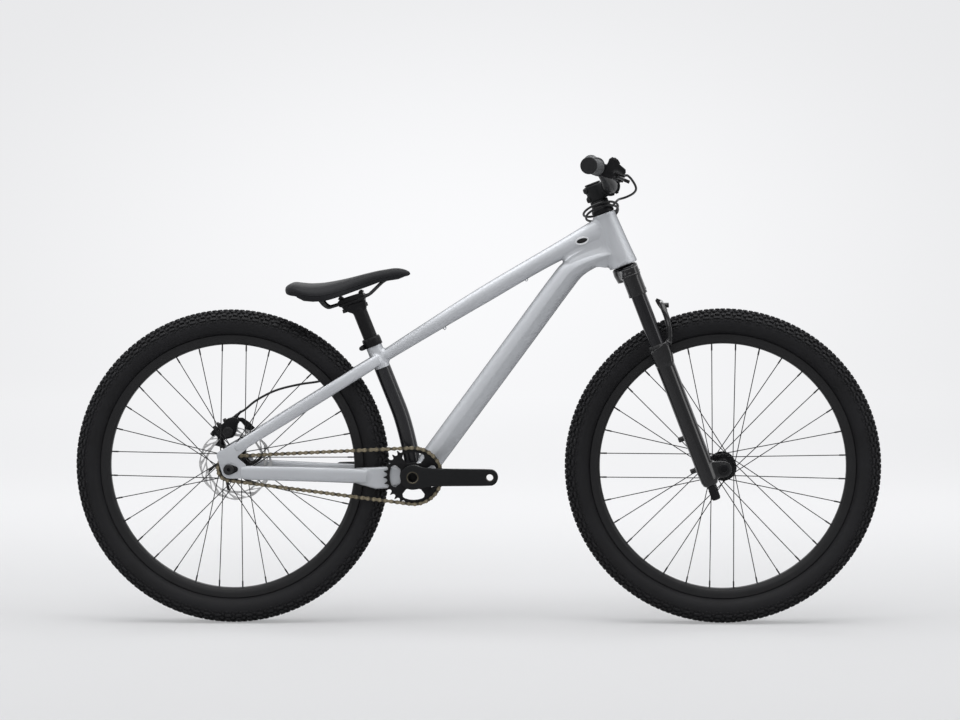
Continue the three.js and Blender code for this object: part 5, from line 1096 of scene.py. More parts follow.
for number, spot in enumerate((Vector((-68.3, 0, 638.8)), Vector((108, 0, 742.7)))):
    place = place_at(spot, math.atan2(104, 176))
    form = moved(slab(link_outline(0, 6, 5.2, 0, -0.5, 3.6), -3.2, 3.2, [circle(1.9, 0, -0.6, 20)]), place)
    piece(f"top_tube_eyelet_{number + 1}", form, "frame", SILVER_PAINT, bevel=0.7)

hose_rows = [(229.6, 25.6, 833.4), (212, 12, 818), (170, 3, 793), (80, 2, 744), (8, 2, 700), (-80, 2, 648),
    (-140, 7, 611), (-168, 17, 595), (-190, 28.5, 584), (-215, 37, 574), (-240, 44.5, 562),
    (-290, 58.5, 533), (-347, 58, 519), (-387, 59, 513), (-442, 58, 499), (-486, 56, 476), (-508, 55, 458)]
CALIPER = place_at(Vector((-533.78, 0, 388.0)), math.radians(29.745))
barb_from, barb_to = Vector((20, 55, 42)), Vector((39, 55, 46.5))
ahead = (barb_to - barb_from).normalized()
hose_rows += [tuple(CALIPER @ (barb_to + ahead * 5.5)), tuple(CALIPER @ (barb_to + ahead * 0.5))]
piece("brake_hose_rear_jacket", wire(hose_rows, HOSE_RADIUS, 16, 240), "frame", HOSE_JACKET,
    ["brake_hose_rear"], sharp=60)
clips = Form()
for at in (Vector((-215, 37, 574)), Vector((-290, 58.5, 533))):
    clips.add(spun([(2.5, -1.6), (4.0, -1.6), (4.0, 1.6), (2.5, 1.6)], 20),
        Matrix.Translation(at) @ Matrix.Rotation(math.radians(64), 4, "Z") @ Matrix.Rotation(0.35, 4, "X"))
piece("brake_hose_guides", clips, "frame", BLACK_PLASTIC, sharp=40)

# ---------------------------------------------------------------- headset, fork
UP_HERE = STEERING @ UPRIGHT
LEG_AHEAD, LEG_ASIDE = 7, 65


def leg_knurl(form, side, count, radius, thick, start, end):
    """Fine rods round a fork leg, between two drops under the head tube."""
    for ridge in range(count):
        x, y = polar(radius, TURN * ridge / count)
        x, y = LEG_AHEAD + x, side * LEG_ASIDE + y
        form.add(rod(thick, (x, y, below(start)), (x, y, below(end)), 8, place=STEERING))


def leg(side, profile, steps=48):
    """A profile of radius and drop under the head tube, turned about one fork leg."""
    rows = [(r, below(drop)) for r, drop in profile]
    return moved(spun(rows, steps), STEERING @ Matrix.Translation((LEG_AHEAD, side * LEG_ASIDE, 0)) @ UPRIGHT)


piece("headset_cone", moved(spun([(14.8, 0.3), (22.6, 0.3), (24, 1.2), (24, 8.5), (23.3, 10.5), (21.6, 13),
    (20.4, 16.5), (19.6, 21), (19.4, 29.4), (18.8, 30), (14.8, 30)], 64), UP_HERE), "steering",
    ANODISED, ["headset_spacers"], sharp=45)
piece("headset_upper_race", moved(spun([(14.9, -7), (20.5, -7), (20.5, -0.2), (14.9, -0.2)], 64), UP_HERE),
    "frame", STEEL, ["headset_bearing_upper"])
piece("headset_lower_race", moved(spun([(20.2, -HEAD_LENGTH), (25.6, -HEAD_LENGTH), (25.6, -HEAD_LENGTH + 7),
    (20.2, -HEAD_LENGTH + 7)], 64), UP_HERE), "frame", STEEL, ["headset_bearing_lower"])
crown_outline = (arc(0, 0, 27, math.radians(-48), math.radians(48), 10)
    + arc(9, 65, 19, math.radians(10), math.radians(190), 16)
    + arc(0, 0, 26, math.radians(132), math.radians(228), 10)
    + arc(9, -65, 19, math.radians(170), math.radians(350), 16))
crown_low = moved(slab(crown_outline, -28, -7), STEERING @ Matrix.Translation(
    Vector((0, 0, below(0)))) @ UPRIGHT)
crown_core = moved(spun([(0, below(1.5)), (24, below(1.5)), (27, below(4)), (28, below(16)), (25, below(33)),
    (20, below(34)), (0, below(34))], 64), UP_HERE)
sockets = [leg(side, [(0, 16), (18.4, 16), (19.8, 17.4), (19.8, 66), (19.2, 67), (0, 67)])
    for side in (1, -1)]
crown = melted("fork_crown", [crown_low, crown_core, *sockets], 1.5, 40)
steerer = moved(spun([(0, 63), (13.6, 63.3), (14.3, 62.6), (14.3, -33), (19.6, -86), (19.6, below(17)),
    (0, below(17))], 48), UP_HERE)
show(crown, "fork_crown_forging", "steering", FORK_GLOSS, ["fork_crown_steerer"])
piece("fork_steerer_tube", steerer, "steering", DARK_STEEL)
for word, side in SIDES:
    piece(f"stanchion_{word}_tube", leg(side, [(0, 20.3), (16, 20.3), (16, 374.5), (15.4, 375), (0, 375)],
        56), "steering", STANCHION_BLACK, [f"stanchion_{word}"], sharp=40)
    cap = Form(leg(side, [(0, 4.2), (9.8, 4.2), (11.4, 5.4), (11.8, 7.6), (11.8, 12), (14.8, 12.6),
        (15.6, 14), (15.6, 17), (0, 17)], 40))
    leg_knurl(cap, side, 14, 11.7, 0.9, 12, 5.6)
    piece(f"fork_cap_{word}", cap, "steering", ANODISED)
    collar = Form(leg(side, [(16.2, 63), (20.3, 63), (20.5, 64), (20.5, 67.4), (20.1, 68), (16.2, 68)], 56))
    collar.add(leg(side, [(18, 21), (20.4, 21), (21.4, 21.8), (21.7, 23.2), (21.4, 24.6), (20.4, 25.4),
        (18, 25.4)], 56))
    piece(f"fork_sleeve_ring_{word}", collar, "steering", FORK_GLOSS, sharp=50)

half_path = [(0.3, 1.02, 1), (0.78, 0.97, 0.74), (1, 0.85, 0.36), (1, 0.58, 0.07), (1, 0.3, 0), (1, 0, 0)]
arch_half = [(LEG_AHEAD + 39 * a, 60 * s, below(108 + 92 * d)) for a, s, d in half_path]
arch_rows = [(x, -y, z) for x, y, z in arch_half] + [(x, y, z) for x, y, z in arch_half[::-1]][1:]
sizes = [(13 - 3.5 * min(1, abs(1 - abs(y) / 60)), 19 - 3 * min(1, abs(y) / 60)) for _, y, _ in arch_rows]
arch = moved(tube(smooth_rows([(*p, *s) for p, s in zip(arch_rows, sizes)], 80), 28, FORWARD, 3.2), STEERING)
lowers = [arch]
for side in (1, -1):
    lowers.append(leg(side, [(0, 186), (19.5, 186), (19.7, 215), (19.2, 300), (19.3, 470), (18.6, 492),
        (16.4, 500), (12, 504), (0, 504)]))
    brow = moved(tube([(7, side * 65, below(186), 42, 44), (9, side * 65, below(192), 42, 47),
        (9, side * 65, below(206), 41.4, 46), (7.5, side * 65, below(226), 40.4, 41)], 36, ACROSS, 3.4),
        STEERING)
    lowers.append(brow)
    boss = link_outline(7, below(468), 18.5, 44, below(480), 17, 20)
    lowers.append(moved(slab(boss, 50, 74, side=side), STEERING))
for drop in (400, 474):
    lowers.append(rod(6, (7, 58, below(drop)), (-26, 58, below(drop)), 28, edge=0.8, place=STEERING))
casting = melted("fork_lowers", lowers, 1.6, 50)
casting = carve(casting, rod(7.8, FRONT_AXLE - Vector((0, 90, 0)), FRONT_AXLE + Vector((0, 90, 0)), 40),
    *[leg(side, [(0, 170), (16.4, 170), (16.4, 480), (0, 480)]) for side in (1, -1)],
    *[rod(2.6, (-8, 58, below(drop)), (-30, 58, below(drop)), 16, place=STEERING) for drop in (400, 474)])
settle(casting, 55)
show(casting, "fork_lower_casting", "fork_lower_legs", FORK_GLOSS, ["fork_lowers"])
for word, side in SIDES:
    seal = leg(side, [(16.1, 181.5), (17.2, 180.6), (18.4, 181.2), (20.4, 184.6), (20.8, 186), (20.8, 193),
        (20.2, 194), (19, 194), (16.3, 190)], 56)
    piece(f"fork_wiper_{word}", seal, "fork_lower_legs", BLACK_PLASTIC)
    foot = Form(leg(side, [(0, 500), (10.8, 500), (10.8, 507), (9.6, 508.4), (9, 510), (9, 533),
        (8.2, 535.2), (5.6, 536), (5.2, 533.4), (0, 533)], 36))
    leg_knurl(foot, side, 12, 9, 0.8, 532, 512)
    piece(f"fork_foot_bolt_{word}", foot, "fork_lower_legs", ANODISED)
    washer = spun([(10.2, 74.2), (13.6, 74.2), (14.2, 74.9), (13.8, 75.4), (10.8, 75.4)], 48, side)
    piece(f"front_axle_washer_{word}", moved(washer, FRONT_AXLE), "fork_lower_legs", DARK_STEEL)
arch_peak = Form()
arch_peak.add(slab([(36, below(95)), (41, below(91.5)), (47, below(97)), (53.4, below(112)),
    (53.4, below(124)), (42, below(124)), (37, below(104))], -9, 9), STEERING)
arch_peak.add(rod(5.4, (49, 0, below(111)), (60, 0, below(114.6)), 24, edge=0.8, place=STEERING))
piece("fork_arch_bridge", arch_peak, "fork_lower_legs", FORK_GLOSS, bevel=1.4, bevel_steps=3)

# ---------------------------------------------------------------- stem and handlebar
stem_low, stem_high = 30.3, 65.3
bar_axis = Vector((STEM_REACH, 0, STEM_RISE))


def around_bar(profile):
    return moved(spun(profile, 56), STEERING @ Matrix.Translation(bar_axis))


clamp_block = moved(spun([(0, stem_low), (19, stem_low), (20, stem_low + 1), (20, stem_high - 1),
    (19, stem_high), (0, stem_high)], 56), UP_HERE)
neck = moved(slab([(-4, stem_low + 2), (20, stem_low + 2.5), (34, stem_low + 1), (34, stem_high + 1),
    (12, stem_high - 0.5), (-4, stem_high - 1)], -18.5, 18.5), STEERING)
ears = Form()
for low, high in ((stem_low + 0.6, stem_low + 13.6), (stem_high - 13.6, stem_high - 0.6)):
    ears.add(slab([(-24, low + 1.4), (-4, low), (-4, high), (-24, high - 1.4)], -9.5, 9.5), STEERING)
bar_block = around_bar([(0, -24), (20.2, -24), (21.3, -23), (21.4, -16), (20.6, -14), (20.6, 14), (21.4, 16),
    (21.3, 23), (20.2, 24), (0, 24)])
stem = melted("stem", [clamp_block, neck, ears, bar_block], 1.3, 34)
stem = carve(stem, around_bar([(0, -30), (16.1, -30), (16.1, 30), (0, 30)]),
    moved(slab([(36, 20), (66, 20), (66, 80), (36, 80)], -30, 30), STEERING),
    rod(14.5, (0, 0, 20), (0, 0, 80), 48, place=STEERING),
    moved(slab([(-30, 20), (-6, 20), (-6, 80), (-30, 80)], -1.4, 1.4), STEERING))
settle(stem, 45)
show(stem, "stem_body", "steering", FORGED, ["stem"])


def clamp_face(outer, wide, count, inner, narrow, fewer):
    """An outline between two arcs round the bar; wide and narrow are in degrees to either side."""
    wide, narrow = math.radians(wide), math.radians(narrow)
    around_zero = arc(0, 0, outer, -wide, wide, count) + arc(0, 0, inner, narrow, -narrow, fewer)
    return [(STEM_REACH + x, STEM_RISE + z) for x, z in around_zero]


plate_form = Form()
for low, high in ((-24, -8), (8, 24)):
    plate_form.add(slab(clamp_face(21.4, 76, 30, 16.2, 68, 26), low, high), STEERING)
plate_form.add(slab(clamp_face(20.4, 40, 18, 16.4, 38, 16), -8.4, 8.4), STEERING)
piece("stem_faceplate_bridge", plate_form, "steering", FORGED, ["stem_faceplate"], bevel=0.9,
    bevel_steps=3)
bolts = Form()
for across in (-16, 16):
    for lift in (-16.2, 16.2):
        start = Vector((STEM_REACH - 6, across, STEM_RISE + lift))
        end = start + Vector((19.5, 0, 0))
        bolts.add(turned([(0, 0), (2.4, 0), (2.4, 13), (4.2, 13.2), (4.2, 17.4), (3.6, 18), (2.1, 18),
            (1.9, 15.6), (0, 15.5)], start, end, 24, place=STEERING))
for lift in (stem_low + 7, stem_high - 7):
    bolts.add(turned([(0, 0), (4.1, 0), (4.4, 0.6), (4.4, 4.4), (3.8, 5), (2.2, 5), (2, 2.8), (0, 2.7)],
        (-20, -8.6, lift), (-20, -14, lift), 24, place=STEERING))
    bolts.add(rod(2.5, (-20, -9, lift), (-20, 12, lift), 16, place=STEERING))
piece("stem_bolts", bolts, "steering", DARK_STEEL)
piece("stem_cap_disc", moved(spun([(0, 65.6), (16.4, 65.6), (17.5, 66.6), (17.5, 68), (16.2, 69.5),
    (5.4, 69.4), (5, 68.6), (4, 68.6), (3.8, 66.8), (0, 66.7)], 48), UP_HERE), "steering", ANODISED,
    ["stem_top_cap"], sharp=30)

bar_half = [(STEM_REACH - sweep * BAR_SWEEP, reach * BAR_HALF, STEM_RISE + rise * BAR_RISE,
    2 * (15.9 - 4.8 * taper), 2 * (15.9 - 4.8 * taper)) for reach, rise, sweep, taper in BAR_ROWS]
bar_rows = [(x, -y, z, w, h) for x, y, z, w, h in bar_half[::-1]][:-1] + bar_half
bar_form = moved(tube(smooth_rows(bar_rows, 170), 36, FORWARD), STEERING)
piece("handlebar_tube", bar_form, "steering", ANODISED, ["handlebar"], sharp=50)


def grip_form(side):
    """A rubber sleeve with fine ribs, a thicker inner collar and a plugged end."""
    inner, outer = bar_point(side * 247), bar_point(side * 380.6)
    inner, outer = STEERING @ inner, STEERING @ outer
    profile = [(11.4, 0), (16.6, 0), (17.3, 0.8), (17.3, 6.4), (16.8, 7.2), (15.9, 8)]
    place = 9.0
    while place < 126:
        profile += [(15.4, place), (15.4, place + 0.7), (16.3, place + 1.1), (16.3, place + 3.1)]
        place += 3.9
    profile += [(15.6, 127), (16.8, 127.8), (17.2, 128.6), (17.2, 130.4), (11.4, 130.4)]
    rubber = turned(profile, inner, outer, 56)
    plug = turned([(0, 118), (11.3, 118), (11.3, 130.6), (16.8, 130.6), (17.5, 131.3), (17.5, 133.4),
        (16.6, 134.5), (12.6, 134.6), (12.2, 134.2), (4, 134.4), (0, 134.4)], inner, outer, 48)
    return rubber, plug


for word, side in SIDES:
    rubber, plug = grip_form(side)
    piece(f"grip_{word}_sleeve", rubber, "steering", GRIP_RUBBER, [f"grip_{word}"], sharp=40)
    piece(f"grip_{word}_plug", plug, "steering", BLACK_PLASTIC, sharp=40)

# ---------------------------------------------------------------- brake lever and master cylinder
clamp = moved(spun([(0, -7.5), (16, -7.5), (16.6, -7), (16.6, 7), (16, 7.5), (0, 7.5)], 48), BRAKE)
perch = moved(slab([(6, -11), (18, -12), (42, -8), (42, 12), (8, 14)], -7.5, 12), BRAKE)
cylinder = moved(turned([(0, 0), (8.4, 0), (10, 1.4), (10, 20), (9.2, 22), (9.2, 54), (7.2, 60), (0, 62)],
    (42, -12, 0), (42, 50, 0), 40), BRAKE)
tank = moved(slab([(15, 4), (14, 27), (19, 31), (30, 31), (38, 25), (54, 20), (57, 14), (54, 3), (34, 0)],
    -9, 36), BRAKE)
hinge = Form()
for low, high in ((3.8, 7.8), (-7.8, -3.8)):
    hinge.add(slab(link_outline(42, 7, 8, 52, 20, 7), low, high), BRAKE @ UPRIGHT)
master = melted("master", [clamp, perch, cylinder, tank, hinge], 1.1, 26)
master = carve(master, rod(11.3, (0, -12, 0), (0, 12, 0), 48, place=BRAKE),
    moved(box((-20, -8, -0.7), (-6, 8, 0.7)), BRAKE))
settle(master, 42)
show(master, "brake_master_body", "steering", ANODISED, ["brake_master_cylinder"])
lid = moved(slab([(13.6, 26.6), (18.4, 33.2), (31, 33.2), (38.8, 27.4), (37.6, 24.6), (29.6, 30.4),
    (19.4, 30.4), (15.4, 26)], -8, 35), BRAKE)
piece("brake_reservoir_lid", lid, "steering", BLACK_PLASTIC, bevel=0.9)
fittings = Form()
for x, y in ((25, -3), (25, 30)):
    fittings.add(turned([(0, 0), (2.2, 0), (2.2, 0.9), (1.9, 1.2), (0.9, 1.2), (0.8, 0.4), (0, 0.4)],
        (x, y, 32.9), (x, y, 36), 16, place=BRAKE))
fittings.add(turned([(0, 0), (2.6, 0), (2.6, 18.6), (2, 19), (0, 19)], (52, -20, -9.4), (52, -20, 9.6), 20,
    place=BRAKE))
for lift in (-3.2, 3.2):
    fittings.add(turned([(0, 0), (2.1, 0), (2.1, 13), (3.6, 13.2), (3.6, 16), (2.9, 16.6), (0, 16.6)],
        (-12.4, lift, -8), (-12.4, lift, 9), 20, place=BRAKE))
piece("brake_lever_fittings", fittings, "steering", DARK_STEEL)
barb = Form(turned([(0, 0), (4.4, 0), (4.4, 6), (4, 6.4), (4, 12), (4.2, 12.2), (4.2, 16), (3.5, 17.4),
    (3.2, 20), (2.7, 20.6)], (42, 41, 0), (59, 59, 8), 24, place=BRAKE))
barb.add(turned([(0, 18), (3.2, 18), (3.0, 22), (2.75, 26.3), (2.52, 31.5), (0, 31.5)], (42, 41, 0),
    (59, 59, 8), 24, place=BRAKE))
piece("brake_hose_strain_relief", barb, "steering", BLACK_PLASTIC, sharp=40)

blade_rows = [(52, -20, 6.5), (48.2, -32, 8.6), (49.4, -48, 9.4), (53.4, -66, 9.4), (58.8, -83, 9.6),
    (62.6, -94, 10.4), (64.6, -101.5, 12)]
rows = smooth_rows([(x, y, 0, w, 7) for x, y, w in blade_rows], 50)
blade = moved(tube(rows, 28, FORWARD, 2.8), BRAKE)
eye = moved(slab(circle(7, 52, 20, 40), -3.4, 3.4, [circle(2.7, 52, 20, 24)]), BRAKE @ UPRIGHT)
tip = moved(slab(circle(6, 64.6, 102, 40), -3.5, 3.5), BRAKE @ UPRIGHT)
lever = melted("lever", [blade, eye, tip], 0.9, 20, soften=1)
lever = carve(lever, rod(3.0, (52, -20, -9), (52, -20, 9), 32, place=BRAKE))
for place in (38, 47, 56):
    x = float(np.interp(place, [-row[1] for row in rows], [row[0] for row in rows]))
    lever = carve(lever, rod(1.9, (x, -place, -9), (x, -place, 9), 20, place=BRAKE))
settle(lever, 42)
show(lever, "brake_lever_blade", "lever", ANODISED, ["brake_lever"])

# ---------------------------------------------------------------- seat post and saddle
collar = Form(moved(spun([(17.7, -18), (19.8, -18), (20.4, -17.2), (20.4, -4), (19.8, 0.4), (18.4, 2.2),
    (15.9, 2.2), (15.9, 0.4), (17.7, 0.4)], 56), SEAT @ UPRIGHT))
for low, high in ((-9, -0.9), (0.9, 9)):
    collar.add(slab([(-19.5, -18.6), (-27, -18.2), (-30.6, -15.6), (-31.4, -12.6), (-30, -9.4), (-26, -7.6),
        (-19.5, -7)], low, high), SEAT)
piece("seat_collar_clamp", collar, "frame", ANODISED, ["seat_collar"], bevel=0.7, bevel_angle=50)
bolt = Form(turned([(0, 0), (4.4, 0), (4.7, 0.7), (4.7, 4), (4.2, 4.6), (2.4, 4.6), (2.2, 2), (0, 1.9)],
    (-26, -8.6, -13), (-26, -16, -13), 24, place=SEAT),
    rod(2.4, (-26, -9, -13), (-26, 10.4, -13), 16, place=SEAT))
piece("seat_collar_bolt", bolt, "frame", DARK_STEEL)

post = moved(spun([(0, -115), (14.6, -115), (15.45, -114), (15.45, 62), (14.6, 66), (0, 66)], 64),
    SEAT @ UPRIGHT)
head_shape = [(x * 23, z * 24) for x, z in [(-1.3, -0.1), (-1.25, -0.5), (-0.95, -0.86), (-0.55, -1.16),
    (0.85, -1.16), (1.02, -0.5), (0.98, -0.1)]]
head = as_mesh("head", moved(slab(head_shape, -12, 12), RAILS), bevel=2.5)
cradle = as_mesh("cradle", moved(slab([(-34, -0.4), (-33, -6), (-30, -7), (22, -7), (25, -6), (26, -0.4)],
    -28, 28), RAILS), bevel=1.6)
post_mesh = melted("post", [post, head, cradle], 1.5, 34)
rail_half = [(along * 132.5, aside * 22, up * 75) for along, aside, up in [(-0.52, 1.5, 0.33),
    (-0.5, 1.45, 0.235), (-0.475, 1.25, 0.12), (-0.42, 1.05, 0.01), (-0.36, 1, 0), (-0.15, 1, 0),
    (0.05, 1, 0), (0.26, 1, 0), (0.33, 0.9, 0.05), (0.52, 0.55, 0.21), (0.6, 0.35, 0.25), (0.64, 0, 0.26)]]
rail_points = rail_half + [(x, -y, z) for x, y, z in rail_half[::-1]][1:]
groove = wire(rail_points, 3.7, 12, 90)
post_mesh = carve(post_mesh, moved(groove, RAILS), *[rod(5.9, (at, 0, -28), (at, 0, -13.6), 32, place=RAILS)
    for at in (-26, 20)])
settle(post_mesh, 50)
show(post_mesh, "seat_post_forging", "seat", ANODISED, ["seat_post"])
piece("saddle_rails_wire", moved(wire(rail_points, 3.5, 20, 140), RAILS), "seat", DARK_STEEL,
    ["saddle_rails"], sharp=60)
clamp_shape = [(-34, 0.4), (26, 0.4), (25.4, 4.6), (21, 8.4), (17, 9), (-22, 9), (-28, 8.6), (-33.4, 5)]
upper = as_mesh("upper", moved(slab(clamp_shape, -28, 28), RAILS), bevel=1.5, bevel_steps=3)
upper = carve(upper, moved(groove, RAILS), moved(slab([(-12, 4.4), (6, 4.4), (9, 10), (-15, 10)], -14, 14),
    RAILS))
settle(upper, 40)
show(upper, "saddle_clamp_plate", "seat", ANODISED, ["saddle_rail_clamp"])
for word, at in (("rear", -26), ("front", 20)):
    bolt = Form(turned([(0, 0), (5, 0), (5.5, 0.6), (5.5, 7.4), (5, 8), (3, 8), (3, 33), (0, 33)],
        (at, 0, -22), (at, 0, 11), 24, place=RAILS))
    bolt.add(turned([(0, 0), (6.4, 0), (6.6, 0.5), (6.6, 2), (6, 3), (3, 3.2), (0, 3.2)], (at, -0.0, 9.2),
        (at, 0, 14), 6, place=RAILS))
    bolt.add(rod(4.4, (at, -9, 10.8), (at, 9, 10.8), 24, edge=0.6, place=RAILS))
    piece(f"saddle_bolt_{word}", bolt, "seat", DARK_STEEL, [f"saddle_clamp_bolt_{word}"])

SADDLE_LONG, SADDLE_TALL, SADDLE_WIDE = 265, 75, 142
# Each row: place from tail to nose, top, skirt, half width
SADDLE_ROWS = [(0.0, 0.895, 0.775, 0.19), (0.012, 0.955, 0.735, 0.29), (0.04, 0.99, 0.675, 0.37),
    (0.085, 1.0, 0.60, 0.43), (0.13, 0.935, 0.48, 0.475), (0.2, 0.83, 0.33, 0.5), (0.3, 0.73, 0.235, 0.488),
    (0.43, 0.66, 0.215, 0.37), (0.53, 0.625, 0.225, 0.262), (0.65, 0.6, 0.235, 0.188),
    (0.75, 0.57, 0.25, 0.166), (0.84, 0.525, 0.225, 0.152), (0.9, 0.485, 0.19, 0.138),
    (0.95, 0.41, 0.175, 0.114), (0.982, 0.33, 0.165, 0.085), (1.0, 0.26, 0.18, 0.045)]


def saddle_section(row):
    """One crowned section, from the left skirt over the top to the right skirt and back underneath."""
    run, top, skirt, half = row
    sides = 40
    along, wide = (run - 0.5) * SADDLE_LONG, half * SADDLE_WIDE
    low, high = skirt * SADDLE_TALL, top * SADDLE_TALL
    ring = []
    for side in range(sides):
        angle = math.pi * side / (sides - 1)
        x, y = math.cos(angle), math.sin(angle)
        across = wide * powered(x, 2.3) if abs(x) > 1e-6 else 0.0
        ring.append((along, across, low + (high - low) * y ** 0.62))
    for side in range(1, 12):
        share = side / 12
        across = -wide + 2 * wide * share
        tuck = math.sin(math.pi * share)
        ring.append((along, across * (1 - 0.05 * tuck), low + 3.6 * min(1, tuck * 2.2)))
    return ring


def ringed(rings):
    """The part whose skin runs along rings of points."""
    count = len(rings[0])
    return [p for ring in rings for p in ring], skin_of([list(range(i * count, (i + 1) * count))
        for i in range(len(rings))])


fine = smooth_rows([(run * SADDLE_LONG, top * SADDLE_TALL, half * SADDLE_WIDE, skirt * SADDLE_TALL)
    for run, top, skirt, half in SADDLE_ROWS], 76)
pad_rings = [saddle_section((run / SADDLE_LONG, top / SADDLE_TALL, skirt / SADDLE_TALL,
    max(half, 1) / SADDLE_WIDE)) for run, top, half, skirt in fine]
pad = piece("saddle_pad_cover", moved(ringed(pad_rings), RAILS), "seat", SADDLE_COVER,
    ["saddle_pad"], sharp=70)
seam = Form()
for side in (2, 37):
    line = [ring[side] for ring in pad_rings[4:-3]]
    inward = 1 if side == 2 else -1
    seam.add(wire([(x, y + inward * 0.1, z + 0.25) for x, y, z in line[::3]], 0.5, 8, 150), RAILS)
piece("saddle_seams", seam, "seat", SADDLE_COVER, sharp=60)
base_rows = [row for row in SADDLE_ROWS if 0.05 < row[0] < 0.97]
base_rings = []
for run, top, skirt, half in base_rows:
    sag = 4.5 * max(0, 1 - abs(run - 0.13) / 0.09) + 3.5 * max(0, 1 - abs(run - 0.87) / 0.07)
    along, low, wide = (run - 0.5) * SADDLE_LONG, skirt * SADDLE_TALL - sag, half * SADDLE_WIDE * 0.965
    upper = [(1, 4.4), (0.985, 1.2), (0.9, -0.4), (0.5, 0.8), (0, 1.4)]
    ring = upper + [(-x, z) for x, z in upper[-2::-1]] + [(-0.5, 6), (0, 6.4), (0.5, 6)]
    base_rings.append([(along, wide * x, low + z) for x, z in ring])
piece("saddle_shell", moved(ringed(base_rings), RAILS), "seat", BLACK_PLASTIC, ["saddle_base"],
    bevel=0.8, bevel_angle=60)

# ---------------------------------------------------------------- rear brake caliper
CALIPER_SIZE = 50


def caliper_outline(shares):
    """An outline whose points are given in shares of the caliper's size."""
    return [(along * CALIPER_SIZE, rise * CALIPER_SIZE) for along, rise in shares]


body_shape = caliper_outline([(-0.58, 0.86), (-0.42, 0.9), (0.04, 0.92), (0.3, 1), (0.56, 0.94), (0.7, 0.8),
    (0.68, 0.62), (0.56, 0.56), (0.36, 0.32), (0.1, 0.17), (-0.22, 0.26), (-0.44, 0.36), (-0.52, 0.7)])
arm_shape = caliper_outline([(0.45, 0.9), (0.7, 0.8), (0.88, 0.7), (1.02, 0.4), (1.12, 0.04), (0.64, 0),
    (0.7, 0.25), (0.76, 0.36), (0.72, 0.56), (0.62, 0.75), (0.45, 0.8)])
foot_shape = caliper_outline([(-0.67, 0.4), (-0.64, 0), (-0.4, 0), (-0.38, 0.24), (-0.24, 0.4), (-0.44, 0.5)])
bodies = Form()
bodies.add(slab(body_shape, 41, 51.2), CALIPER)
bodies.add(slab(body_shape, 54.9, 61.5), CALIPER)
bodies.add(slab([(-26, 34), (30, 34), (34, 47), (10, 46), (-26, 43)], 50, 56), CALIPER)
bodies.add(slab(arm_shape, 56.4, 61.5), CALIPER)
bodies.add(slab(foot_shape, 56.4, 75), CALIPER)
caliper_mesh = as_mesh("caliper", bodies, bevel=1.3)
show(caliper_mesh, "brake_caliper_casting", "frame", ANODISED, ["brake_caliper"])
details = Form()
for x, z, r in ((2, 24, 11.5), (-16, 34, 4)):
    for start, end in ((61, 64), (41.4, 39.4)):
        details.add(turned([(0, 0), (r, 0), (r, 1.6), (r - 1, 2.6), (r * 0.55, 2.6), (r * 0.5, 1.6),
            (0, 1.5)], (x, start, z), (x, end, z), 36, place=CALIPER))
for x, z in ((-25, 8), (47, 8)):
    details.add(rod(3.1, (x, 64, z + 6), (x, 64, z - 6), 20, edge=0.6, place=CALIPER))
    details.add(turned([(0, 0), (5.2, 0), (5.4, 0.5), (5.4, 4.4), (4.8, 5), (2.6, 5), (2.4, 2.6), (0, 2.5)],
        (x, 64, z + 5), (x, 64, z + 14), 28, place=CALIPER))
details.add(turned([(0, 0), (4.6, 0), (5, 0.6), (5, 6), (4.2, 7), (0, 7.2)], (-27, 51, 38), (-37, 51, 35),
    24, place=CALIPER))
details.add(turned([(0, 0), (5, 0), (5, 5), (3.9, 6), (3.4, 9.4), (2.2, 10), (0, 10)], (-8, 56, 44),
    (-12, 56, 56), 24, place=CALIPER))
for x, z in ((8, 45), (-19, 42)):
    details.add(turned([(0, 0), (4.8, 0), (4.8, 5), (4, 6), (3.4, 8.6), (0, 9)], (x, 52, z), (x, 52, z + 10),
        24, place=CALIPER))
details.add(turned([(0, 0), (5, 0), (5, 8), (4.3, 8.6), (4.1, 16), (3.5, 19.5), (2.6, 20)], (20, 55, 42),
    (39, 55, 46.5), 28, place=CALIPER))
piece("brake_caliper_fittings", details, "frame", DARK_STEEL)
relief = turned([(0, 0), (3.2, 0), (3.0, 5), (2.7, 9), (2.52, 12.5), (0, 12.5)], (36.6, 55, 45.9),
    (49, 55, 48.9), 24, place=CALIPER)
piece("brake_caliper_strain_relief", relief, "frame", BLACK_PLASTIC, sharp=40)
for pad_name in ("brake_pad_inner", "brake_pad_outer"):
    pad_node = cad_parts[pad_name]
    pad_node.data.materials.clear()
    pad_node.data.materials.append(PAD_BACKING)

# ---------------------------------------------------------------- floor, backdrop, lights
FLOOR_TONE, FLOOR_GLOW = 0.36, 0.31
# The wall glows brightest in its middle and less towards its edges: painted shade on the backdrop.
WALL_CENTRE, WALL_EDGE_SHADE = 0.975, 0.83
ROOM_FRONT, ROOM_BACK, ROOM_COLOUR = 0.52, 0.9, (0.982, 0.985, 1.0, 1)


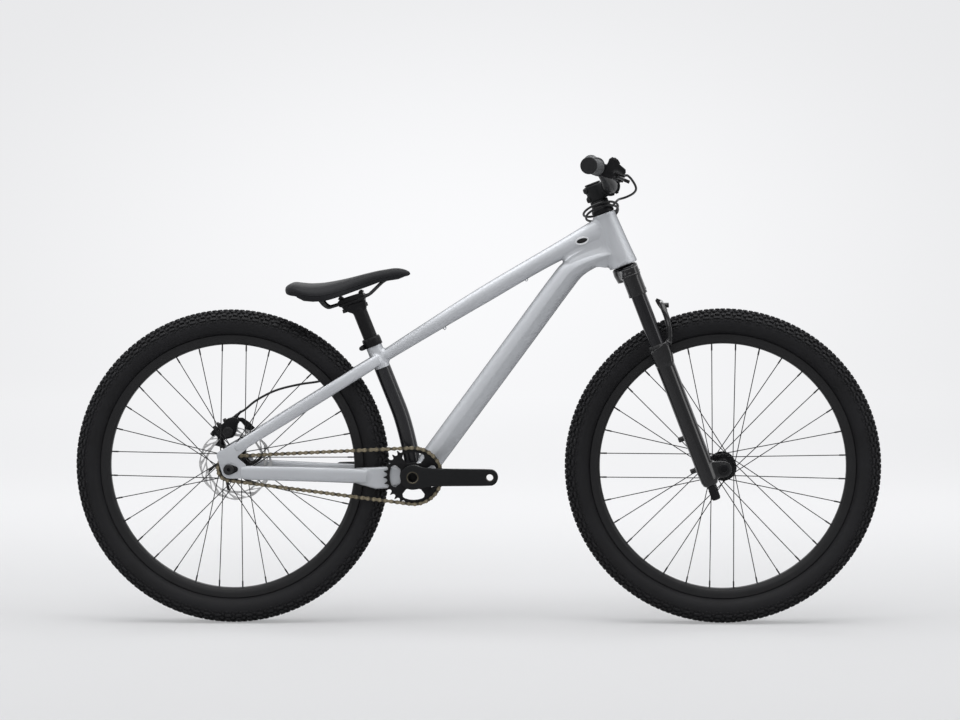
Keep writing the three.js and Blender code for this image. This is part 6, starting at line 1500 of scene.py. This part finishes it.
def studio_floor():
    """A floor that turns up into a wall, and shows cameras a pale tone with the bike's shadow on it."""
    made = bpy.data.materials.new("backdrop")
    made.use_nodes = True
    tree = made.node_tree
    tree.nodes.clear()

    def math_of(kind, first, second, clamp=False):
        return shading(tree, "Math", {0: first, 1: second}, operation=kind, use_clamp=clamp)

    def ramp(value, start, end, low, high):
        return smooth_step(tree, value, start, end, low, high)

    def glow(strength):
        return shading(tree, "Emission", {"Color": ROOM_COLOUR, "Strength": strength})

    def matt(tone):
        return shading(tree, "BsdfDiffuse", {"Color": (tone, tone * 1.005, tone * 1.02, 1)})

    def mix(share, first, second):
        return shading(tree, "MixShader", {"Fac": share, 1: first, 2: second})

    position = shading(tree, "NewGeometry", output="Position")
    across, deep, up = shading(tree, "SeparateXYZ", {0: position}).node.outputs
    aside = math_of("ADD", across, 0.38)
    tall = math_of("MULTIPLY", math_of("ADD", up, -0.5), 1.8)
    squares = math_of("ADD", math_of("MULTIPLY", aside, aside), math_of("MULTIPLY", tall, tall))
    # Painted shade: the wall's glow dims with distance from a point near the bike's middle.
    wall = glow(ramp(math_of("POWER", squares, 0.5), 0.0, 3.4, WALL_CENTRE, WALL_EDGE_SHADE))
    rise = math_of("ADD", ramp(deep, -4.5, -1.6, 0.46, FLOOR_GLOW), ramp(deep, -0.2, 2.6, 0.0, 0.30), True)
    rise = math_of("ADD", rise, ramp(math_of("ABSOLUTE", across, 0.0), 1.4, 5.0, 0.0, 0.22), True)
    near = shading(tree, "AddShader", {0: matt(FLOOR_TONE), 1: glow(rise)})
    ground = mix(ramp(deep, -13.0, -4.5, 0.0, 1.0), glow(ROOM_FRONT), near)
    shown = mix(ramp(deep, 0.6, 6.0, 0.0, 1.0), ground, wall)
    path = shading(tree, "LightPath").node.outputs
    seen = math_of("ADD", math_of("ADD", path["Is Camera Ray"], path["Is Glossy Ray"], True),
        path["Is Transmission Ray"], True)
    behind = shading(tree, "NewGeometry", output="Backfacing")
    surface = mix(behind, mix(seen, matt(0.6), shown), shading(tree, "BsdfTransparent"))
    shading(tree, "OutputMaterial", {"Surface": surface}, None)
    half_width, front, depth, height, bend = 24.0, -14.0, 7.0, 9.0, 2.5
    profile = [(front, 0.0), (depth, 0.0)]
    profile += [(depth + bend * math.sin(a), bend - bend * math.cos(a))
        for a in np.linspace(0.1, math.pi / 2, 14)]
    profile.append((depth + bend, height))
    points = [(x, y, z) for y, z in profile for x in (-half_width, half_width)]
    faces = [(2 * i, 2 * i + 1, 2 * i + 3, 2 * i + 2) for i in range(len(profile) - 1)]
    mesh = bpy.data.meshes.new("floor")
    mesh.from_pydata(points, [], faces)
    mesh.polygons.foreach_set("use_smooth", [True] * len(faces))
    mesh.materials.append(made)
    floor = bpy.data.objects.new("floor", mesh)
    bpy.context.scene.collection.objects.link(floor)


def lamp(name, place, target, wide, high, power):
    data = bpy.data.lights.new(name, "AREA")
    data.shape, data.size, data.size_y, data.energy = "RECTANGLE", wide, high, power
    light = bpy.data.objects.new(name, data)
    bpy.context.scene.collection.objects.link(light)
    light.location = place
    light.rotation_mode = "QUATERNION"
    light.rotation_quaternion = (Vector(target) - Vector(place)).to_track_quat("-Z", "Y")


studio_floor()
lamp("top_softbox", (0, -0.35, 3.3), (0, 0, 0.3), 5.0, 2.6, 140)
lamp("front_fill", (-0.8, -5.4, 3.4), (0, 0, 0.5), 3.4, 2.0, 44)
lamp("left_softbox", (-4.2, -1.4, 1.9), (0, 0, 0.6), 1.6, 2.6, 34)
lamp("right_softbox", (4.2, -1.2, 1.9), (0, 0, 0.6), 1.6, 2.6, 38)
lamp("back_softbox", (0, 4.6, 3.2), (0, 0, 0.5), 4.0, 1.6, 40)


def studio_world():
    """Even soft light; cameras and mirrors see a pale room, whiter behind the bike than in front of it."""
    world = bpy.data.worlds.new("studio")
    bpy.context.scene.world = world
    world.use_nodes = True
    tree = world.node_tree
    lighting = tree.nodes["Background"]
    lighting.inputs["Color"].default_value = (0.93, 0.935, 0.95, 1)
    lighting.inputs["Strength"].default_value = 0.24
    heading = shading(tree, "SeparateXYZ", {0: shading(tree, "TexCoord", output="Generated")}, "Y")
    tone = smooth_step(tree, heading, -0.4, 0.5, ROOM_FRONT, ROOM_BACK)
    room = shading(tree, "Background", {"Color": ROOM_COLOUR, "Strength": tone})
    path = shading(tree, "LightPath").node.outputs
    seen = path["Is Camera Ray"]
    for kind in ("Is Glossy Ray", "Is Transmission Ray"):
        seen = shading(tree, "Math", {0: seen, 1: path[kind]}, operation="ADD", use_clamp=True)
    surface = shading(tree, "MixShader", {"Fac": seen, 1: lighting.outputs[0], 2: room})
    tree.links.new(surface, tree.nodes["World Output"].inputs["Surface"])


studio_world()
bpy.context.scene.view_settings.view_transform = "Standard"
